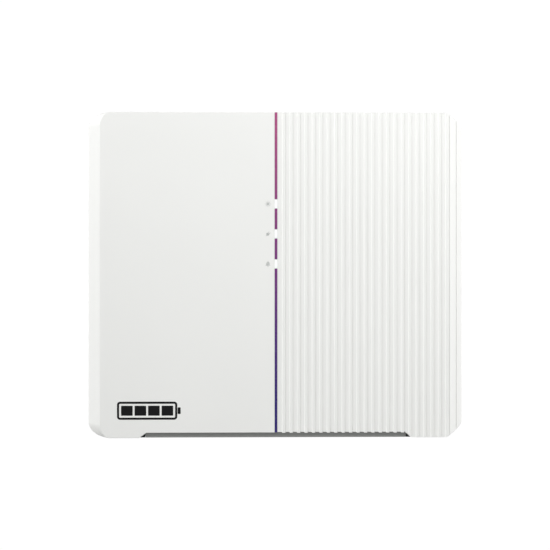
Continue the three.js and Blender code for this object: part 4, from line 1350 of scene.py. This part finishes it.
def ground_terminal():
    """Threaded brass stud with a hexagon head behind the panel, and a chamfered nut."""
    g = GROUND
    x = centre("ground_stud").x
    tip, head_top = [corner.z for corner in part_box("ground_stud")]
    stud = [(1.6 * MM, 0), (2.3 * MM, 0.6 * MM)] + threaded(g.stud, 1.0 * MM, PANEL_LOW.z - tip)
    stud.append((g.stud, PANEL_HIGH.z + 1 * MM - tip))
    piece = spin("ground_stud_threaded", stud, x, ROW_Y, tip, 40)
    head = tablet(
        lambda inset: hexagon(x, ROW_Y, g.head, inset), "z", PANEL_HIGH.z + GAP, head_top, 0.2 * MM, 0.6 * MM)
    join(piece, loft(head))
    finish_piece(piece, BRASS, ["ground_stud"])
    low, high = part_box("ground_nut")
    half = half_size("ground_nut")
    corner = max(half.x, half.y)
    nut = new_object("ground_nut_hex", prism(hexagon(x, ROW_Y, corner), "z", low.z, high.z))
    height = high.z - low.z
    inner = corner - g.chamfer
    cone = [(inner, 0), (corner, g.slant), (corner, height - g.slant), (inner, height)]
    boolean(nut, spin("cutter", cone, x, ROW_Y, low.z), "INTERSECT")
    bore = [
        (g.mouth, -0.1 * MM), (g.bore, 0.5 * MM), (g.bore, height - 0.5 * MM), (g.mouth, height + 0.1 * MM),
    ]
    cut(nut, loft(turned(bore, x, ROW_Y, low.z, 40)))
    finish_piece(nut, STEEL, ["ground_nut"])


def vent_valve():
    """Domed vent cap with a finger grip, over a plain round neck."""
    x = centre("vent_valve").x
    outside = [
        (0.3, -9), (3.5, -8.9), (7, -8.45), (9.2, -7.6), (10.5, -6.5), (11.1, -5.3), (11.5, -4), (11.5, -1.2),
        (11.0, -0.9), (11.0, -0.5), (11.5, -0.2), (11.5, 0), (6, 0), (6, 10), (0.3, 10),
    ]
    valve = spin("vent_cap", [(r * MM, h * MM) for r, h in outside], x, ROW_Y, FLANGE_TOP, 64)
    scoops = [circle(a, b, GRIP.radius, 20) for a, b in circle(x, ROW_Y, GRIP.at, GRIPS)]
    ends = (FLANGE_TOP - GRIP.low, FLANGE_TOP - GRIP.high)
    cut(valve, several([(slab(scoop, "z", *ends), False) for scoop in scoops]))
    finish_piece(valve, BLACK, ["vent_valve"])


ground_terminal()
vent_valve()

# ---------------------------------------------------------------- wall side

SHEET = 2.5 * MM
BEND = 2.4 * MM
INNER_BEND = 1.0 * MM
DEBURR = 0.3 * MM
RAIL_SLOT = sizes(half_width=4.25, half_length=10)
BRACKET_SLOT_DROP = 19 * MM
PLATE_HEIGHT = 60 * MM
HOOK_DROP = 14 * MM
RAIL_SLOTS = (-150 * MM, -60 * MM, 60 * MM, 150 * MM)


def slot_through(piece, x, z):
    """An upright slot with round ends, through the sheet against the wall."""
    half = RAIL_SLOT.half_width
    outline = round_box(x, z, half, RAIL_SLOT.half_length, half, 0.0, 10)
    cut(piece, prism(outline, "y", 2 * MM, -SHEET - 2 * MM))


def folded_sheet(name, node, section, slots=(), hole=None):
    """A folded steel sheet: a section in (y, z) swept along X, with its slots and hole."""
    low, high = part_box(node)
    piece = new_object(name, prism(rounded_section(section), "x", low.x, high.x))
    for x, z in slots:
        slot_through(piece, x, z)
    if hole:
        drill(piece, circle(hole.x, hole.y, LOCK_HOLE, 32), low.z - 1 * MM, low.z + SHEET + 1 * MM)
    return finish_piece(piece, STEEL, [node])


def wall_side():
    """Wall rail, hanger, and the two lower brackets with their lock screws."""
    low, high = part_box("wall_rail")
    plate_top = low.z + PLATE_HEIGHT
    lip = low.y + SHEET
    section = [
        (0, low.z, DEBURR), (0, plate_top, BEND), (lip, plate_top + 9 * MM, INNER_BEND),
        (lip, high.z, DEBURR), (low.y, high.z, DEBURR), (low.y, plate_top + 7 * MM, BEND),
        (-SHEET, plate_top - 2 * MM, INNER_BEND), (-SHEET, low.z, DEBURR),
    ]
    slot_z = (low.z + plate_top) / 2
    folded_sheet("wall_rail_folded", "wall_rail", section, [(x, slot_z) for x in RAIL_SLOTS])
    low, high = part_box("hanger_rail")
    hook = high.y - SHEET
    hook_end = high.z - HOOK_DROP
    section = [
        (low.y, low.z, DEBURR), (low.y, high.z, BEND), (high.y, high.z, BEND), (high.y, hook_end, DEBURR),
        (hook, hook_end, DEBURR), (hook, high.z - SHEET, INNER_BEND),
        (low.y + SHEET, high.z - SHEET, INNER_BEND), (low.y + SHEET, low.z, DEBURR),
    ]
    folded_sheet("hanger_rail_folded", "hanger_rail", section)
    for side in ("left", "right"):
        node = f"lower_bracket_{side}"
        low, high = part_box(node)
        screw = centre(f"lock_screw_{side}")
        section = [
            (0, low.z, BEND), (0, high.z, DEBURR), (-SHEET, high.z, DEBURR),
            (-SHEET, low.z + SHEET, INNER_BEND), (low.y, low.z + SHEET, DEBURR), (low.y, low.z, DEBURR),
        ]
        slots = [(screw.x, high.z - BRACKET_SLOT_DROP)]
        folded_sheet(f"lower_bracket_{side}_folded", node, section, slots, screw)
        lock_screw(side, screw)


def lock_screw(side, screw):
    """Button-head screw with a hexagon socket and a threaded shank."""
    node = f"lock_screw_{side}"
    low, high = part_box(node)
    head = 2.8
    shank = 2.5 * MM
    length = high.z - low.z
    button = ((3.4, 0), (4.3, 0.35), (4.8, 0.9), (5, 1.6), (5, head))
    profile = [(radius * MM, height * MM) for radius, height in button]
    profile += threaded(shank, head * MM, length - 0.6 * MM) + [(shank - 0.8 * MM, length)]
    piece = spin(f"{node}_threaded", profile, screw.x, screw.y, low.z, 40)
    drill(piece, hexagon(screw.x, screw.y, 1.9 * MM), low.z - 1 * MM, low.z + 1.7 * MM)
    finish_piece(piece, STEEL, [node])


wall_side()


# ---------------------------------------------------------------- camera, light and floor

def camera():
    """A long lens square on to the front, a touch to the left of it."""
    data = bpy.data.cameras.new("camera")
    cam = in_scene("camera", data)
    field = 733 * MM
    distance = 3.0
    aim_x = -1.33 * MM
    yaw = math.radians(-2.2)
    data.sensor_width = 36
    data.lens = data.sensor_width * distance / field
    target = Vector((aim_x, RIB_FACE, MIDDLE))
    away = Vector((math.sin(yaw), -math.cos(yaw), 0))
    cam.location = target + away * distance
    cam.rotation_euler = (-away).to_track_quat("-Z", "Y").to_euler()
    data.clip_end = 100
    bpy.context.scene.camera = cam


# Brightness of the room to the unit's left and right, and as the camera sees it; the left side dims below
ROOM = {"left": 2.12, "right": 1.475, "backdrop": 1.02, "fade": 0.4}


def area_light(name, place, size, power):
    """A softbox at a place relative to the middle of the face, turned towards it."""
    data = bpy.data.lights.new(name, "AREA")
    data.shape = "RECTANGLE"
    data.size, data.size_y = size
    data.energy = power
    lamp = in_scene(name, data)
    lamp.location = Vector((0, RIB_FACE, MIDDLE)) + Vector(place)
    lamp.rotation_euler = (-Vector(place)).to_track_quat("-Z", "Y").to_euler()


def studio():
    """A white room with bright sides, and two soft boxes above and in front of the unit."""
    world = bpy.data.worlds.new("studio")
    bpy.context.scene.world = world
    world.use_nodes = True
    tree = world.node_tree
    nodes = tree.nodes
    links = tree.links
    split = nodes.new("ShaderNodeSeparateXYZ")
    links.new(nodes.new("ShaderNodeTexCoord").outputs["Generated"], split.inputs[0])
    across = split.outputs["X"]
    fade = nodes.new("ShaderNodeMapRange")
    fade.inputs["From Min"].default_value = -ROOM["fade"]
    fade.inputs["From Max"].default_value = 0
    links.new(split.outputs["Z"], fade.inputs["Value"])
    left = maths(tree, "MAXIMUM", maths(tree, "MULTIPLY", across, -ROOM["left"]), 0.0)
    right = maths(tree, "MAXIMUM", maths(tree, "MULTIPLY", across, ROOM["right"]), 0.0)
    sides = maths(tree, "MULTIPLY_ADD", left, fade.outputs["Result"], right)
    seen = nodes.new("ShaderNodeMix")
    links.new(nodes.new("ShaderNodeLightPath").outputs["Is Camera Ray"], seen.inputs[0])
    links.new(sides, seen.inputs[2])
    seen.inputs[3].default_value = ROOM["backdrop"]
    background = nodes["Background"]
    background.inputs["Color"].default_value = (1, 1, 1, 1)
    links.new(seen.outputs[0], background.inputs["Strength"])
    area_light("key_light", place=(0.55, -0.95, 0.75), size=(0.7, 0.5), power=8.2)
    area_light("left_light", place=(-0.9, -0.35, 0.55), size=(0.5, 0.5), power=2.3)


def floor():
    """A round pale floor well below the unit."""
    drop = 3.4
    bm = bmesh.new()
    bmesh.ops.create_circle(bm, cap_ends=True, segments=96, radius=6.0)
    disc = new_object("studio_floor", bm)
    disc.location = (0, 0, BOTTOM - drop)
    n = Nodes("floor_paint")
    n.put(n.ramp(n.noise(1.5), [(0.3, (0.82, 0.82, 0.81)), (0.7, (0.85, 0.85, 0.84))]), "Base Color")
    n.put(n.span(n.noise(12.0), 0.6, 0.7), "Roughness")
    disc.data.materials.append(n.material)


camera()
studio()
floor()
bpy.context.scene.view_settings.view_transform = "Standard"
